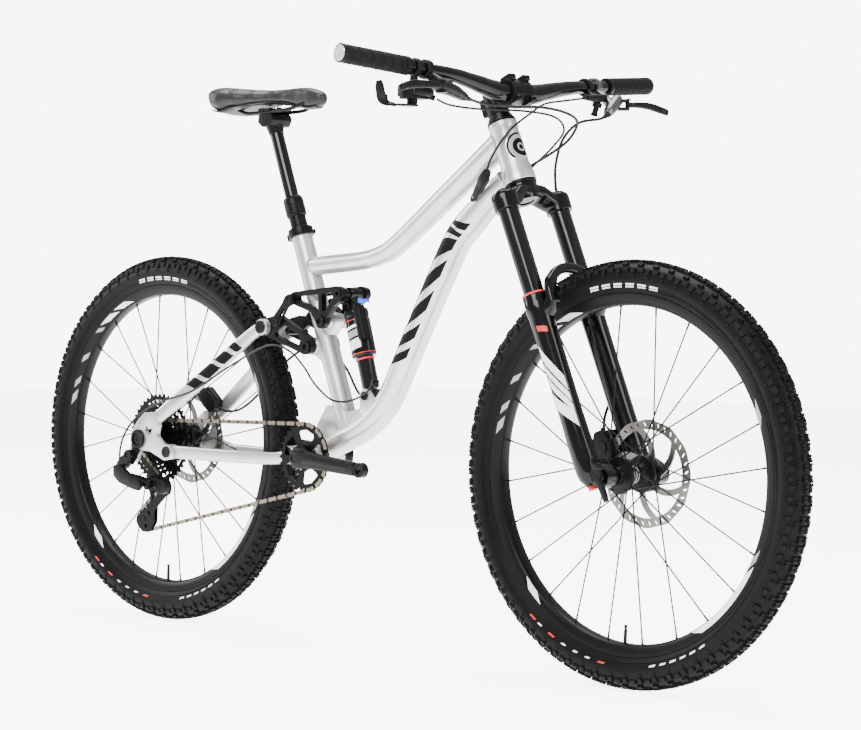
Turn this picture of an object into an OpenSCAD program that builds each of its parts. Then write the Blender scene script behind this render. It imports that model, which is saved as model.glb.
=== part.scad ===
// Full-suspension mountain bike, 27.5 inch wheels.
// X points forward, Y to the rider's left, Z up. The origin is on the ground midway between the axles.

/* [Frame] */
// Distance between the wheel axles
wheelbase = 1150; // [1140:1:1160]
// Height of both axles over the ground, which is the tyre's radius
axle_h = 352; // [350:1:354]
// Head tube angle from horizontal, in degrees
head_angle = 66.5; // [66:0.1:67]
// Seat tube angle from horizontal, in degrees
seat_angle = 69.3; // [69:0.1:69.6]
// Length of the head tube
head_len = 110; // [106:1:112]
// Outer radius of the seat tube
seat_r = 19; // [18.5:0.1:20]
// Width of the bottom bracket shell
shell_w = 73; // [72:0.5:73]

/* [Fork] */
// Axle to crown race length along the steering axis
crown_s = 535; // [534:1:536]
// Offset of the axle in front of the steering axis
fork_offset = 42; // [41:1:43]
// Offset of the stanchions in front of the steering axis
leg_o = 11; // [10:1:12]
// Half the distance between the stanchions
leg_y = 66; // [66:0.5:67]
// Radius of the stanchions
stanchion_r = 17.5; // [17:0.1:17.6]
// Outer radius of the lower legs
leg_r = 21.5; // [21.2:0.1:21.8]

/* [Wheels] */
// Half the tyre's width
tyre_w = 30; // [29:0.5:30.5]
// Inner radius of the rim
rim_in = 278; // [276:1:280]
// Outer radius of the rim
rim_out = 297; // [296:1:298]
// Number of spokes in each wheel
spokes = 24; // [24:4:32]
// Radius of the brake rotors
rotor_r = 90; // [88:1:90]

/* [Drivetrain] */
// Length of the crank arms
crank_len = 172.5; // [170:2.5:175]
// Downward angle of the right crank arm, in degrees
crank_drop = 4; // [0:1:10]
// Teeth on the chainring
ring_teeth = 30; // [30:1:30]
// Teeth on the cog that carries the chain
cog_teeth = 18; // [18:1:18]
// Teeth on each derailleur pulley
pulley_teeth = 11; // [11:1:11]
// Distance of the chain's middle from the bike's middle plane
chain_y = 48.5; // [48.4:0.1:48.6]

/* [Cockpit] */
// Half the handlebar's width
bar_half = 390; // [380:5:395]
// Length of each grip
grip_len = 132; // [120:2:134]
// Radius of the grips
grip_r = 16; // [15:0.5:17]

/* [Hidden] */
$fn = 64;
e = 0.01;

// Main points of the frame, as [x, z]
rear_axle_p = [-wheelbase / 2, axle_h];
front_axle_p = [wheelbase / 2, axle_h];
foot_p = front_axle_p - fork_offset * [sin(head_angle), cos(head_angle)];
bb_p = [-149, 340.5];
seat_top_p = [-217.4, 752];
main_p = [-196, 345];
horst_p = [-494, 331.5];
stay_p = [-268, 574];
link_p = [-160, 541];
rocker_p = [-124, 588];
rocker_rear_p = [-200, 627];
rocker_front_p = [-80, 638];
strut_p = [-236, 584];
shock_low_p = [-24, 456.5];
knuckle_p = [-519, 263];
guide_p = [-563, 268];
tension_p = [-586, 196];
hanger_p = [-591, 320];

// Heights along the steering axis, measured from the foot of the axle's perpendicular
head_s = crown_s + 6;
head_top_s = head_s + head_len;
leg_top_s = 514;
leg_socket_s = 484;
seal_s = 330;
stanchion_s = 172;
stem_s = head_top_s + 18.5;
stem_h = 40;

// Chain and sprockets
pitch = 12.7;
chain_half = 3.6;
function pitch_r(n) = pitch / (2 * sin(180 / n));
cogs = [10, 12, 14, 16, 18, 21, 24, 28, 32, 36, 42];
cog_y0 = chain_y + 4 * 3.75;
cog_step = 3.75;

// ---------- placing helpers ----------

// Extrudes an [x, z] outline from y0 to y1
module side(y0, y1) {
    translate([0, y1, 0]) rotate([90, 0, 0]) linear_extrude(y1 - y0) children();
}
// The same outline on both sides of the middle plane
module both_sides(y0, y1) {
    side(y0, y1) children();
    side(-y1, -y0) children();
}
// A cylinder along Y at an [x, z] point
module pin(p, y0, y1, r) {
    translate([p[0], y1, p[1]]) rotate([90, 0, 0]) cylinder(h = y1 - y0, r = r);
}
module pin_both(p, y0, y1, r) {
    pin(p, y0, y1, r);
    pin(p, -y1, -y0, r);
}
// A round bar or cone between two points in space
module rod(a, b, r1, r2) {
    v = b - a;
    h = norm(v);
    translate(a) rotate([0, acos(v[2] / h), atan2(v[1], v[0])]) cylinder(h = h, r1 = r1, r2 = r2);
}
function at_y(p, y) = [p[0], y, p[1]];
// The steering frame: local X is forward of the steering axis and local Z goes up along it
module on_steering() {
    translate([foot_p[0], 0, foot_p[1]]) rotate([0, head_angle - 90, 0]) children();
}
function steer_point(o, y, s) = [foot_p[0] + o * sin(head_angle) - s * cos(head_angle), y,
    foot_p[1] + o * cos(head_angle) + s * sin(head_angle)];
// The seat tube frame: local Z goes up along the seat tube from its top
module on_seat_tube() {
    translate([seat_top_p[0], 0, seat_top_p[1]]) rotate([0, seat_angle - 90, 0]) children();
}
// The shock frame: local Z goes from the lower eye to the upper eye
shock_len = norm(rocker_front_p - shock_low_p);
shock_tilt = atan2(rocker_front_p[0] - shock_low_p[0], rocker_front_p[1] - shock_low_p[1]);
module on_shock() {
    translate([shock_low_p[0], 0, shock_low_p[1]]) rotate([0, shock_tilt, 0]) children();
}
// A solid of revolution about a Y axis, from [r, y] points
module turned(p, points) {
    translate([p[0], 0, p[1]]) rotate([-90, 0, 0]) rotate_extrude($fn = 96) polygon(points);
}
// A cone chain through [x, z, r] stations in the middle plane
module tube_run(stations) {
    for (i = [0:len(stations) - 2])
        rod([stations[i][0], 0, stations[i][1]], [stations[i + 1][0], 0, stations[i + 1][1]],
            stations[i][2], stations[i + 1][2]);
    for (i = [1:len(stations) - 2])
        translate([stations[i][0], 0, stations[i][1]]) sphere(r = stations[i][2] + 0.4);
}

// ---------- cable and hose sweep ----------

function spline(p, i, t) =
    let (n = len(p) - 1, a = p[max(i - 1, 0)], b = p[i], c = p[i + 1], d = p[min(i + 2, n)])
    0.5 * (2 * b + (c - a) * t + (2 * a - 5 * b + 4 * c - d) * t * t
        + (3 * b - a - 3 * c + d) * t * t * t);
function smooth_path(p, steps) = [for (i = [0:len(p) - 2]) for (k = [0:steps - 1])
    spline(p, i, k / steps), p[len(p) - 1]];
function unit(v) = v / norm(v);
function ring(c, dir, up, r, sides) =
    let (u = unit(cross(dir, up)), v = cross(u, dir))
    [for (k = [0:sides - 1]) c + r * (cos(360 * k / sides) * u + sin(360 * k / sides) * v)];
module hose(points, r, up, steps = 2) {
    sides = 8;
    path = smooth_path(points, steps);
    n = len(path);
    verts = [for (i = [0:n - 1]) each ring(path[i],
        unit(path[min(i + 1, n - 1)] - path[max(i - 1, 0)]), up, r, sides)];
    walls = [for (i = [0:n - 2]) for (k = [0:sides - 1]) let (k2 = (k + 1) % sides)
        [i * sides + k, i * sides + k2, (i + 1) * sides + k2, (i + 1) * sides + k]];
    first = [for (k = [0:sides - 1]) sides - 1 - k];
    last = [for (k = [0:sides - 1]) (n - 1) * sides + k];
    polyhedron(points = verts, faces = concat([first], walls, [last]));
}
hose_r = 2.5;
front_hose_route = [[354, 188, 957], [344, 178, 950], [320, 150, 942], [310, 122, 914],
    [314, 100, 875], [319, 92, 842], [325, 94, 806], [352, 96, 752], [386, 94, 700], [436, 96, 585],
    [462, 92, 510], [461, 80, 470], [466, 60, 440], [478, 44, 419.5]];
rear_hose_front_route = [[329, -144, 965], [318, -90, 960], [330, -40, 958], [368, 0, 958],
    [384, 45, 950], [380, 76, 936], [355, 84, 909], [329, 72, 887], [306, 51, 867],
    [280, 38, 850]];
rear_hose_stay_route = [[-34, 20, 420], [-60, 36, 440], [-104, 44, 458], [-146, 54, 500],
    [-190, 57, 532], [-250, 57, 538], [-330, 61, 498], [-400, 66, 440], [-445, 64, 412],
    [-473, 56, 407], [-491, 52.5, 412]];
shift_front_route = [[308.5, -195.5, 961], [296, -150, 955], [306, -90, 952], [340, -20, 952],
    [369, 28, 944], [365, 59, 923], [338, 61, 895], [313, 47, 867], [290, 36, 842]];
shift_stay_route = [[2, -26, 486], [-10, -26, 466], [-38, -28, 451], [-72, -31, 444],
    [-100, -36, 450], [-128, -46, 476], [-148, -54, 506], [-184, -57, 533], [-240, -57, 541],
    [-330, -62, 503], [-420, -78, 452], [-492, -86, 430], [-540, -88, 412], [-580, -91, 386],
    [-604, -92, 358], [-617, -90, 332], [-621, -88, 308]];
dropper_hose_route = [[337.5, 149, 984.6], [322, 110, 978], [317, 64, 970], [325, 20, 952],
    [310, -18, 920], [290, -36, 880], [277, -40, 848]];

// ---------- front triangle ----------

module head_tube_outer() {
    on_steering() rotate_extrude() polygon([[0, head_s], [28.5, head_s], [28.5, head_s + 16],
        [25, head_s + 42], [24, head_top_s - 14], [25, head_top_s - 6], [25, head_top_s],
        [0, head_top_s]]);
}
top_tube_run = [[-178, 688, 17.2], [-113, 693, 17], [-50, 699, 16.5], [-5, 709, 17.2],
    [38, 730, 18.6], [283, 905, 22.5]];
down_tube_run = [[288, 836, 26], [205, 762, 26], [170, 722, 24.6], [89, 577, 23.4],
    [41, 487, 23.2], [21, 454, 23.2], [1, 429, 23], [-41, 397, 22.6], [-88, 375, 22.2],
    [-140, 351, 20]];

module front_frame() {
    color("gainsboro") difference() {
        union() {
            head_tube_outer();
            tube_run(top_tube_run);
            tube_run(down_tube_run);
            on_seat_tube() translate([0, 0, -385]) cylinder(h = 385, r = seat_r);
            pin(bb_p, -shell_w / 2, shell_w / 2, 21);
            // gusset between the shell, the seat tube and the down tube
            side(-16, 16) polygon([[-167, 348], [-157, 388], [-124, 432], [-70, 428], [-28, 432],
                [4, 444], [-12, 408], [-88, 366], [-140, 338]]);
            // seat tube bosses for the lower link and the rocker
            pin(link_p, -22, 22, 15);
            side(-15, 15) polygon([[-172, 532], [-166, 554], [-150, 572], [-118, 520],
                [-126, 508]]);
            pin(rocker_p, -22, 22, 13);
            side(-13, 13) polygon([[-168, 606], [-140, 604], [-118, 599], [-113, 584],
                [-122, 574], [-140, 556]]);
            // main pivot boss behind the shell
            side(-16, 16) polygon([[-196, 336], [-196, 357], [-160, 358], [-160, 336]]);
            pin(main_p, -31, 31, 13);
            // ears for the shock's lower eye
            both_sides(13, 20) polygon([[-36, 458], [-31, 466], [-18, 467], [-11, 459],
                [10, 442], [-16, 414], [-34, 430]]);
        }
        // bores
        on_steering() translate([0, 0, head_s - 1]) cylinder(h = head_len + 2, r = 20.4);
        on_steering() translate([0, 0, head_s - 60]) cylinder(h = 60, r = 34);
        on_seat_tube() translate([0, 0, -235]) cylinder(h = 240, r = 15.5);
        pin(bb_p, -40, 40, 17);
        pin(main_p, -40, 40, 7.5);
        pin(link_p, -40, 40, 6);
        pin(rocker_p, -40, 40, 6);
        pin(shock_low_p, -30, 30, 5);
    }
}
module bearing_cups() {
    color("black") {
        on_steering() difference() {
            translate([0, 0, crown_s + 0.3]) cylinder(h = head_s - crown_s - 0.3, r = 27.5);
            translate([0, 0, crown_s - 1]) cylinder(h = 10, r = 20.4);
        }
        on_steering() difference() {
            union() {
                translate([0, 0, head_top_s]) cylinder(h = 5, r = 25);
                translate([0, 0, head_top_s + 5]) cylinder(h = 12.5, r1 = 24, r2 = 18);
            }
            translate([0, 0, head_top_s - 1]) cylinder(h = 30, r = 14.6);
        }
        for (s = [-1, 1]) difference() {
            pin(bb_p, min(s * shell_w / 2, s * 46), max(s * shell_w / 2, s * 46), 21.5);
            pin(bb_p, -60, 60, 12.3);
        }
    }
}
module seat_clamp_collar() {
    color("black") on_seat_tube() difference() {
        union() {
            translate([0, 0, -12]) cylinder(h = 16, r = 23);
            translate([-31, -8, -10]) cube([14, 16, 12]);
        }
        translate([0, 0, -13]) cylinder(h = 13, r = seat_r);
        translate([0, 0, -13]) cylinder(h = 30, r = 15.5);
        translate([-32, -1, -13]) cube([14, 2, 20]);
    }
}
module dropper_outer_tube() {
    color("black") on_seat_tube() difference() {
        union() {
            translate([0, 0, -214]) cylinder(h = 254, r = 15.45);
            translate([0, 0, 28]) cylinder(h = 38, r = 18.5);
        }
        translate([0, 0, -212]) cylinder(h = 290, r = 12.75);
    }
}
module pivot_bolts() {
    color("black") {
        pin(link_p, -41, 41, 5.95);
        pin_both(link_p, 36.4, 41.5, 10);
        pin(rocker_p, -41, 41, 5.95);
        pin_both(rocker_p, 36.4, 41.5, 10);
        pin(main_p, -45.4, 45.4, 7.45);
        pin_both(main_p, 44.6, 45.6, 11);
        pin(shock_low_p, -22, 22, 4.95);
        pin_both(shock_low_p, 20, 23.5, 8);
    }
}

// ---------- fork and cockpit ----------

module fork_crown() {
    color("black") on_steering() difference() {
        union() {
            rotate_extrude() polygon([[0, 505], [26, 505], [27, crown_s], [19, crown_s],
                [19, 560], [14.3, 610], [14.3, stem_s + stem_h - 1], [0, stem_s + stem_h - 1]]);
            for (s = [-1, 1]) {
                translate([leg_o, s * leg_y, leg_socket_s])
                    cylinder(h = leg_top_s - leg_socket_s, r = 22.5);
            }
            translate([-8, -leg_y, 505]) cube([36, 2 * leg_y, 17]);
        }
        for (s = [-1, 1]) translate([leg_o, s * leg_y, leg_socket_s - 1])
            cylinder(h = 50, r = stanchion_r);
        translate([0, 0, 560]) cylinder(h = 200, r = 11.5);
    }
}
module fork_stanchions() {
    color("dimgray") on_steering() for (s = [-1, 1]) translate([leg_o, s * leg_y, 0])
        difference() {
            translate([0, 0, stanchion_s]) cylinder(h = leg_top_s - stanchion_s, r = stanchion_r);
            translate([0, 0, stanchion_s - 1])
                cylinder(h = leg_top_s - stanchion_s - 5, r = stanchion_r - 2);
        }
}
module compression_knob() {
    color("black") on_steering() translate([leg_o, -leg_y, leg_top_s + 0.3]) union() {
        cylinder(h = 7, r = 11, $fn = 12);
        translate([0, -2, 0]) cube([15, 4, 5]);
    }
}
bar_c = steer_point(45.5, 0, 689);
bar_y1 = 42;
bar_y2 = 160;
bar_x = bar_c[0];
bar_z = bar_c[2];
function bar_inner(s) = [bar_x, s * bar_y1, bar_z];
function bar_bend(s) = [bar_x + 1, s * bar_y2, bar_z + 19.5];
function bar_end(s) = [bar_x - 27, s * bar_half, bar_z + 39];
function bar_at(s, y) = bar_bend(s) + (bar_end(s) - bar_bend(s)) * ((y - bar_y2) / (bar_half - bar_y2));
module stem() {
    color("black") {
        difference() {
            union() {
                on_steering() translate([0, 0, stem_s]) cylinder(h = stem_h, r = 19);
                on_steering() translate([10, -17, stem_s + 3]) cube([26, 34, stem_h - 6]);
                rod([bar_x, -25, bar_z], [bar_x, 25, bar_z], 23, 23);
            }
            on_steering() translate([0, 0, stem_s - 1]) cylinder(h = stem_h + 2, r = 14.3);
            rod([bar_x, -30, bar_z], [bar_x, 30, bar_z], 17.5, 17.5);
            on_steering() translate([46.5, -30, stem_s - 10]) cube([2, 60, stem_h + 20]);
        }
        on_steering() translate([0, 0, stem_s + stem_h]) cylinder(h = 4, r = 17);
    }
}
module handlebar() {
    color("black") {
        rod(bar_inner(-1), bar_inner(1), 17.5, 17.5);
        for (s = [-1, 1]) {
            rod(bar_inner(s), bar_bend(s), 16.8, 11.6);
            translate(bar_bend(s)) sphere(r = 11.9);
            rod(bar_bend(s), bar_end(s), 11.2, 11.1);
        }
    }
}
module grips() {
    color("#202020") for (s = [-1, 1]) difference() {
        rod(bar_at(s, bar_half - grip_len), bar_at(s, bar_half + 1.5), grip_r, grip_r);
        rod(bar_at(s, bar_half - grip_len - 5), bar_at(s, bar_half), 11.2, 11.1);
    }
}
// A clamp ring round the bar at a distance y from the middle
module bar_clamp(s, y, w, r) {
    rod(bar_at(s, y - w / 2), bar_at(s, y + w / 2), r, r);
}
// The hole that the bar takes through whatever is clamped on it
module bar_hole(s) {
    rod(bar_at(s, 165), bar_at(s, 260), 11.25, 11.25);
}
// Each brake body: clamp, lever bracket and master cylinder
module brake_bodies() {
    for (s = [-1, 1]) color(s > 0 ? "silver" : "black") {
        translate([lever_pivot_x, s * lever_pivot_y, 968]) cylinder(h = 18, r = 2.4);
        difference() {
            union() {
                bar_clamp(s, 214, 12, 17);
                rod([304, s * 213, 1003], [342, s * 207, 977], 8, 8);
                if (s < 0)
                    rod([352, -246, 981], [330, -150, 966], 11, 7.5);
                else
                    rod([345, 224, 985], [352, 190, 960], 10, 8);
                translate([340, s * 236 - 11, 967]) cube([24, 22, 20]);
            }
            bar_hole(s);
            translate([351, s * 240 - 14, 972.8]) cube([23, 28, 9.4]);
        }
    }
}
lever_pivot_x = 358;
lever_pivot_y = 240;
lever_pivot_z = 977.5;
module brake_lever(s) {
    color("black") translate([lever_pivot_x, s * lever_pivot_y, lever_pivot_z - 4])
        mirror([0, s > 0 ? 0 : 1, 0]) linear_extrude(8) difference() {
            union() {
                circle(r = 5.6);
                polygon([[-3.5, -5], [4, -5], [9, 6], [8, 30], [4, 60], [3, 84], [8, 100], [3, 104],
                    [-3, 90], [-4, 60], [-1, 30], [-1, 12], [-3.5, 5]]);
            }
            circle(r = 2.45);
        }
}
module left_brake_lever() {
    brake_lever(1);
}
module right_brake_lever() {
    brake_lever(-1);
}
shifter_c = [283, -229];
module shifter_body() {
    color("black") difference() {
        union() {
            bar_clamp(-1, 236, 9, 16.5);
            translate([shifter_c[0], shifter_c[1], 964]) cylinder(h = 17, r = 19);
            translate([shifter_c[0], shifter_c[1], 952]) cylinder(h = 14, r = 9);
            rod([294, -236, 1000], [288, -232, 976], 7, 8);
            rod([292, -218, 970], [307, -198, 962], 6, 4.5);
        }
        bar_hole(-1);
        translate([shifter_c[0], shifter_c[1], 950]) cylinder(h = 9, r = 5);
    }
}
// The shift paddle turns on a pin in the shifter's lower boss and reaches down and back to the thumb
module shift_paddle() {
    color("#303030") translate([shifter_c[0], shifter_c[1], 0]) {
        translate([0, 0, 949]) cylinder(h = 9.9, r = 4.9);
        translate([0, 0, 948.4]) linear_extrude(3.2) polygon([[13, 2], [12, -14], [4, -36],
            [-8, -50], [-15, -46], [-14, -14], [-13, 2], [0, 8]]);
        rod([-9, -44, 950], [-16, -57, 962], 4.6, 4.2);
        rod([-16, -57, 961], [-18, -60, 988], 5.5, 4.2);
    }
}
module dropper_remote() {
    color("black") difference() {
        union() {
            bar_clamp(1, 186, 9, 16);
            rod([306, 185, 1001], [334, 176, 984], 6, 6);
            rod([336, 196, 987], [338, 151, 984.8], 7, 5.5);
        }
        bar_hole(1);
        rod([328, 212, 986], [360, 205, 972], 10, 10);
    }
}
module remote_button() {
    color("black") rod([331, 186, 975.3], [324, 186, 956], 5.5, 5.5);
}

// ---------- fork lower legs ----------

module fork_lowers() {
    color("black") on_steering() difference() {
        union() {
            for (s = [-1, 1]) {
                translate([leg_o, s * leg_y, 6]) cylinder(h = seal_s - 6, r = leg_r);
                translate([leg_o, s > 0 ? 48 : -76, 285]) cube([33, 28, 45]);
                translate([leg_o - 4, s > 0 ? 50.3 : -84, -17])
                    cube([fork_offset - leg_o + 20, 33.7, 34]);
            }
            // arch over the tyre
            translate([34.5, 0, 318]) rotate([0, 90, 0]) difference() {
                cylinder(h = 15.5, r = 62);
                translate([0, 0, -1]) cylinder(h = 30, r = 45);
                translate([0, -70, -1]) cube([70, 140, 30]);
            }
        }
        for (s = [-1, 1]) translate([leg_o, s * leg_y, 20]) cylinder(h = 400, r = stanchion_r + 0.3);
        // room for the hub between the dropouts
        translate([fork_offset, 50.2, 0]) rotate([90, 0, 0]) cylinder(h = 100.4, r = 34);
        translate([fork_offset, 100, 0]) rotate([90, 0, 0]) cylinder(h = 200, r = 7.6);
        // pocket for the rebound knob
        translate([leg_o, -leg_y, -20]) cylinder(h = 22, r = 9.6);
    }
}
module front_axle() {
    color("black") {
        pin(front_axle_p, -88, 84, 7.5);
        pin(front_axle_p, -92, -84.5, 11);
        side(-96, -88) polygon([[567, 352], [571, 361], [580, 361], [584, 350], [603, 318],
            [599, 310], [590, 312]]);
    }
}
module rebound_knob() {
    color("red") on_steering() translate([leg_o, -leg_y, -12]) cylinder(h = 13.6, r = 9, $fn = 12);
}
module front_caliper() {
    color("black") on_steering() difference() {
        union() {
            translate([-34, 26, 42]) cube([28, 30, 56]);
            translate([-14, 50, 46]) cube([16, 10, 12]);
            translate([-14, 50, 84]) cube([16, 10, 12]);
        }
        translate([leg_o, leg_y, 0]) cylinder(h = 400, r = leg_r + e);
        translate([fork_offset, 42.4, 0]) rotate([90, 0, 0]) cylinder(h = 4.8, r = rotor_r + 4);
    }
}

// ---------- wheels ----------

module tyre(p) {
    color("#181818") turned(p, concat(
        [for (a = [-125:10:125]) [axle_h - 31 + 31 * cos(a), tyre_w * sin(a)]],
        [for (a = [115:-10:-115]) [axle_h - 31 + 26 * cos(a), (tyre_w - 5) * sin(a)]]));
}
module rim(p) {
    color("#151515") turned(p, [[rim_in, -7], [rim_in, 7], [rim_out - 8, 16.5], [rim_out, 17],
        [rim_out, 13.6], [rim_out - 7, 13.4], [rim_out - 10, 4], [rim_out - 10, -4],
        [rim_out - 7, -13.4], [rim_out, -13.6], [rim_out, -17], [rim_out - 8, -16.5]]);
}
// Spokes leave the two flanges in turn and cross their neighbours
module spoke_set(p, flange_y, flange_r, turn) {
    color("black") translate([p[0], 0, p[1]]) for (i = [0:spokes - 1]) {
        s = i % 2 == 0 ? 0 : 1;
        lean = floor(i / 2) % 2 == 0 ? -1 : 1;
        a_rim = 360 * i / spokes + turn;
        a_hub = a_rim + lean * 62;
        y = flange_y[s] + lean * 1.4;
        rod([flange_r * cos(a_hub), y, flange_r * sin(a_hub)],
            [(rim_in + 1) * cos(a_rim), 0, (rim_in + 1) * sin(a_rim)], 1, 1);
    }
}
front_flange_y = [-32, 24];
rear_flange_y = [-20, 33];
flange_r = 27;
module hub(p, half, axle_r, fl, rotor_y, drive_y) {
    color("black") turned(p, [[axle_r, -half], [9.9, -half], [9.9, -drive_y], [13, -drive_y],
        [13, fl[0] - 4.8], [flange_r + 3, fl[0] - 3], [flange_r + 3, fl[0] + 3], [15, fl[0] + 9],
        [15, fl[1] - 9], [flange_r + 3, fl[1] - 3], [flange_r + 3, fl[1] + 3], [23, fl[1] + 5],
        [23, rotor_y], [17.6, rotor_y], [17.6, rotor_y + 2], [12, rotor_y + 5], [12, half],
        [axle_r, half]]);
}
module rotor(p, y) {
    color("silver") side(y, y + 2) translate(p) difference() {
        union() {
            difference() {
                circle(r = rotor_r);
                circle(r = rotor_r - 15);
            }
            circle(r = 27);
            for (i = [0:5]) rotate(60 * i) translate([14, 10]) square([65, 7]);
        }
        circle(r = 17.7);
        for (i = [0:35]) rotate(10 * i + 5) translate([rotor_r - 7.5, 0]) circle(r = 3);
    }
}
module front_tyre() {
    tyre(front_axle_p);
}
module front_rim() {
    rim(front_axle_p);
}
module front_spokes() {
    spoke_set(front_axle_p, front_flange_y, flange_r, 6);
}
module front_hub() {
    hub(front_axle_p, 50, 7.56, front_flange_y, 39, 44);
}
module front_rotor() {
    rotor(front_axle_p, 39);
}
module rear_tyre() {
    tyre(rear_axle_p);
}
module rear_rim() {
    rim(rear_axle_p);
}
module rear_spokes() {
    spoke_set(rear_axle_p, rear_flange_y, flange_r, 7.5);
}
module rear_hub() {
    hub(rear_axle_p, 70.8, 6.06, rear_flange_y, 55, 24.9);
}
module rear_rotor() {
    rotor(rear_axle_p, 55);
}

// ---------- rear suspension ----------

module rear_axle() {
    color("black") {
        pin(rear_axle_p, -80, 80, 6);
        pin(rear_axle_p, -83, -80, 11);
        pin(rear_axle_p, 80, 83, 9);
    }
}
chainstay_plan = [[-178, 31.5], [-178, 44.3], [-226, 44.3], [-300, 59], [-470, 70], [-512, 70],
    [-512, 60], [-470, 59], [-300, 46.5], [-240, 34.5], [-222, 31.5]];
chainstay_side = [[-512, 324], [-494, 317], [-470, 317], [-220, 320], [-200, 329], [-178, 332],
    [-178, 358], [-206, 361], [-226, 343], [-470, 343], [-494, 346], [-508, 340]];
module chainstay() {
    color("gainsboro") {
        difference() {
            union() {
                for (s = [-1, 1]) intersection() {
                    side(-80, 80) polygon(chainstay_side);
                    translate([0, 0, 300]) linear_extrude(80)
                        polygon([for (q = chainstay_plan) [q[0], s * q[1]]]);
                }
                // yoke under the main pivot
                translate([-213, -40, 322]) cube([30, 80, 8.5]);
            }
            pin(main_p, -60, 60, 7.5);
            pin(horst_p, -90, 90, 6.9);
        }
        pin_both(horst_p, 60, 80.4, 6.9);
        pin_both(horst_p, 80.4, 83, 11);
    }
}
stay_plan = [[-562, 71], [-562, 80], [-540, 80], [-480, 75.5], [-340, 59], [-290, 51], [-252, 50],
    [-252, 37], [-290, 38], [-340, 46], [-480, 64], [-540, 71]];
stay_side = [[-562, 372], [-566, 392], [-540, 405], [-470, 449], [-290, 577], [-275, 587],
    [-258, 584], [-255, 570], [-262, 561], [-290, 549], [-470, 417], [-530, 374]];
dropout_side = [[-594, 352], [-590, 370], [-575, 384], [-560, 400], [-536, 402], [-520, 382],
    [-524, 360], [-506, 346], [-484, 343], [-479, 331], [-485, 318], [-500, 316], [-540, 330],
    [-575, 332], [-590, 338]];
module seatstays() {
    color("gainsboro") difference() {
        union() {
            both_sides(71, 80) polygon(dropout_side);
            // hanger tab for the derailleur
            side(-80, -71) polygon([[-594, 350], [-605, 322], [-600, 309], [-588, 307],
                [-578, 316], [-572, 334]]);
            for (s = [-1, 1]) intersection() {
                side(-90, 90) polygon(stay_side);
                translate([0, 0, 350]) linear_extrude(260)
                    polygon([for (q = stay_plan) [q[0], s * q[1]]]);
            }
        }
        pin(rear_axle_p, -90, 90, 6);
        pin(horst_p, -90, 90, 7);
        pin(stay_p, -90, 90, 10.8);
        pin(hanger_p, -90, -60, 5);
    }
}
module lower_link() {
    color("#202020") {
        difference() {
            union() {
                both_sides(24, 36) difference() {
                    polygon([[-280, 568], [-281, 580], [-270, 588], [-244, 595], [-230, 594],
                        [-150, 556], [-145, 541], [-151, 529], [-166, 527], [-272, 561]]);
                    polygon([[-250, 573], [-236, 572], [-182, 548], [-184, 543]]);
                }
                pin([-222, 566], -24, 24, 5);
            }
            pin(link_p, -60, 60, 6);
        }
        // pivot pins for the stays and the struts
        pin_both(stay_p, 36, 51, 5.95);
        pin_both(stay_p, 51, 54, 12);
        pin_both(strut_p, 36, 45, 4.9);
    }
}
module rocker() {
    color("#202020") {
        difference() {
            union() {
                both_sides(24, 36) difference() {
                    polygon([[-209, 624], [-206, 634], [-196, 639], [-84, 651], [-70, 647],
                        [-67, 635], [-76, 626], [-92, 616], [-108, 596], [-111, 584], [-120, 575],
                        [-132, 577], [-138, 588], [-150, 604], [-192, 617]]);
                    polygon([[-182, 627], [-146, 618], [-134, 604], [-136, 634]]);
                }
                both_sides(12, 24) translate(rocker_front_p) circle(r = 9);
                pin([-112, 624], -24, 24, 6);
            }
            pin(rocker_p, -60, 60, 6);
        }
        pin(rocker_front_p, -12, 12, 4);
        pin_both(rocker_rear_p, 36, 45, 4.9);
    }
}
module link_struts() {
    color("#202020") difference() {
        both_sides(37, 43.5) polygon([[-243, 577], [-233, 575], [-226, 582], [-205, 612],
            [-191, 619], [-190, 631], [-199, 636], [-211, 630], [-219, 618], [-244, 591]]);
        pin(strut_p, -60, 60, 5);
        pin(rocker_rear_p, -60, 60, 5.5);
    }
}
module shock_body() {
    color("#181818") on_shock() difference() {
        union() {
            translate([0, 0, 72]) cylinder(h = 88, r = 22.5);
            translate([-9, -11, 150]) cube([18, 22, 36]);
            translate([0, 11, shock_len]) rotate([90, 0, 0]) cylinder(h = 22, r = 12);
            translate([17, -8, 100]) cylinder(h = 62, r = 12);
            translate([0, -14, 148]) cube([20, 20, 14]);
        }
        translate([0, 0, 71]) cylinder(h = 77, r = 16.1);
        translate([0, 15, shock_len]) rotate([90, 0, 0]) cylinder(h = 30, r = 8.2);
    }
}
module shock_shaft() {
    color("#252525") on_shock() difference() {
        union() {
            translate([0, 0, 13]) cylinder(h = 85, r = 15.7);
            translate([-8, -11, 0]) cube([16, 22, 18]);
            translate([0, 11, 0]) rotate([90, 0, 0]) cylinder(h = 22, r = 10);
        }
        translate([0, 15, 0]) rotate([90, 0, 0]) cylinder(h = 30, r = 5);
    }
}
module shock_lever() {
    color("royalblue") on_shock() translate([23, -8, 166]) rotate([0, 24, 0]) union() {
        cylinder(h = 9, r = 5.5);
        translate([-3, -4, 4.2]) cube([26, 8, 5]);
    }
}
module rear_caliper() {
    color("black") difference() {
        union() {
            side(42, 63) polygon([[-548, 436], [-528, 452], [-494, 424], [-496, 404], [-512, 396]]);
            side(58, 66) polygon([[-530, 440], [-512, 444], [-498, 430], [-505, 418]]);
        }
        pin(rear_axle_p, 53.6, 58.4, rotor_r + 4);
        for (s = [1]) intersection() {
            side(-90, 90) polygon(stay_side);
            translate([0, 0, 350]) linear_extrude(260)
                polygon([for (q = stay_plan) [q[0], s * q[1]]]);
        }
    }
}

// ---------- drivetrain ----------

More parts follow.
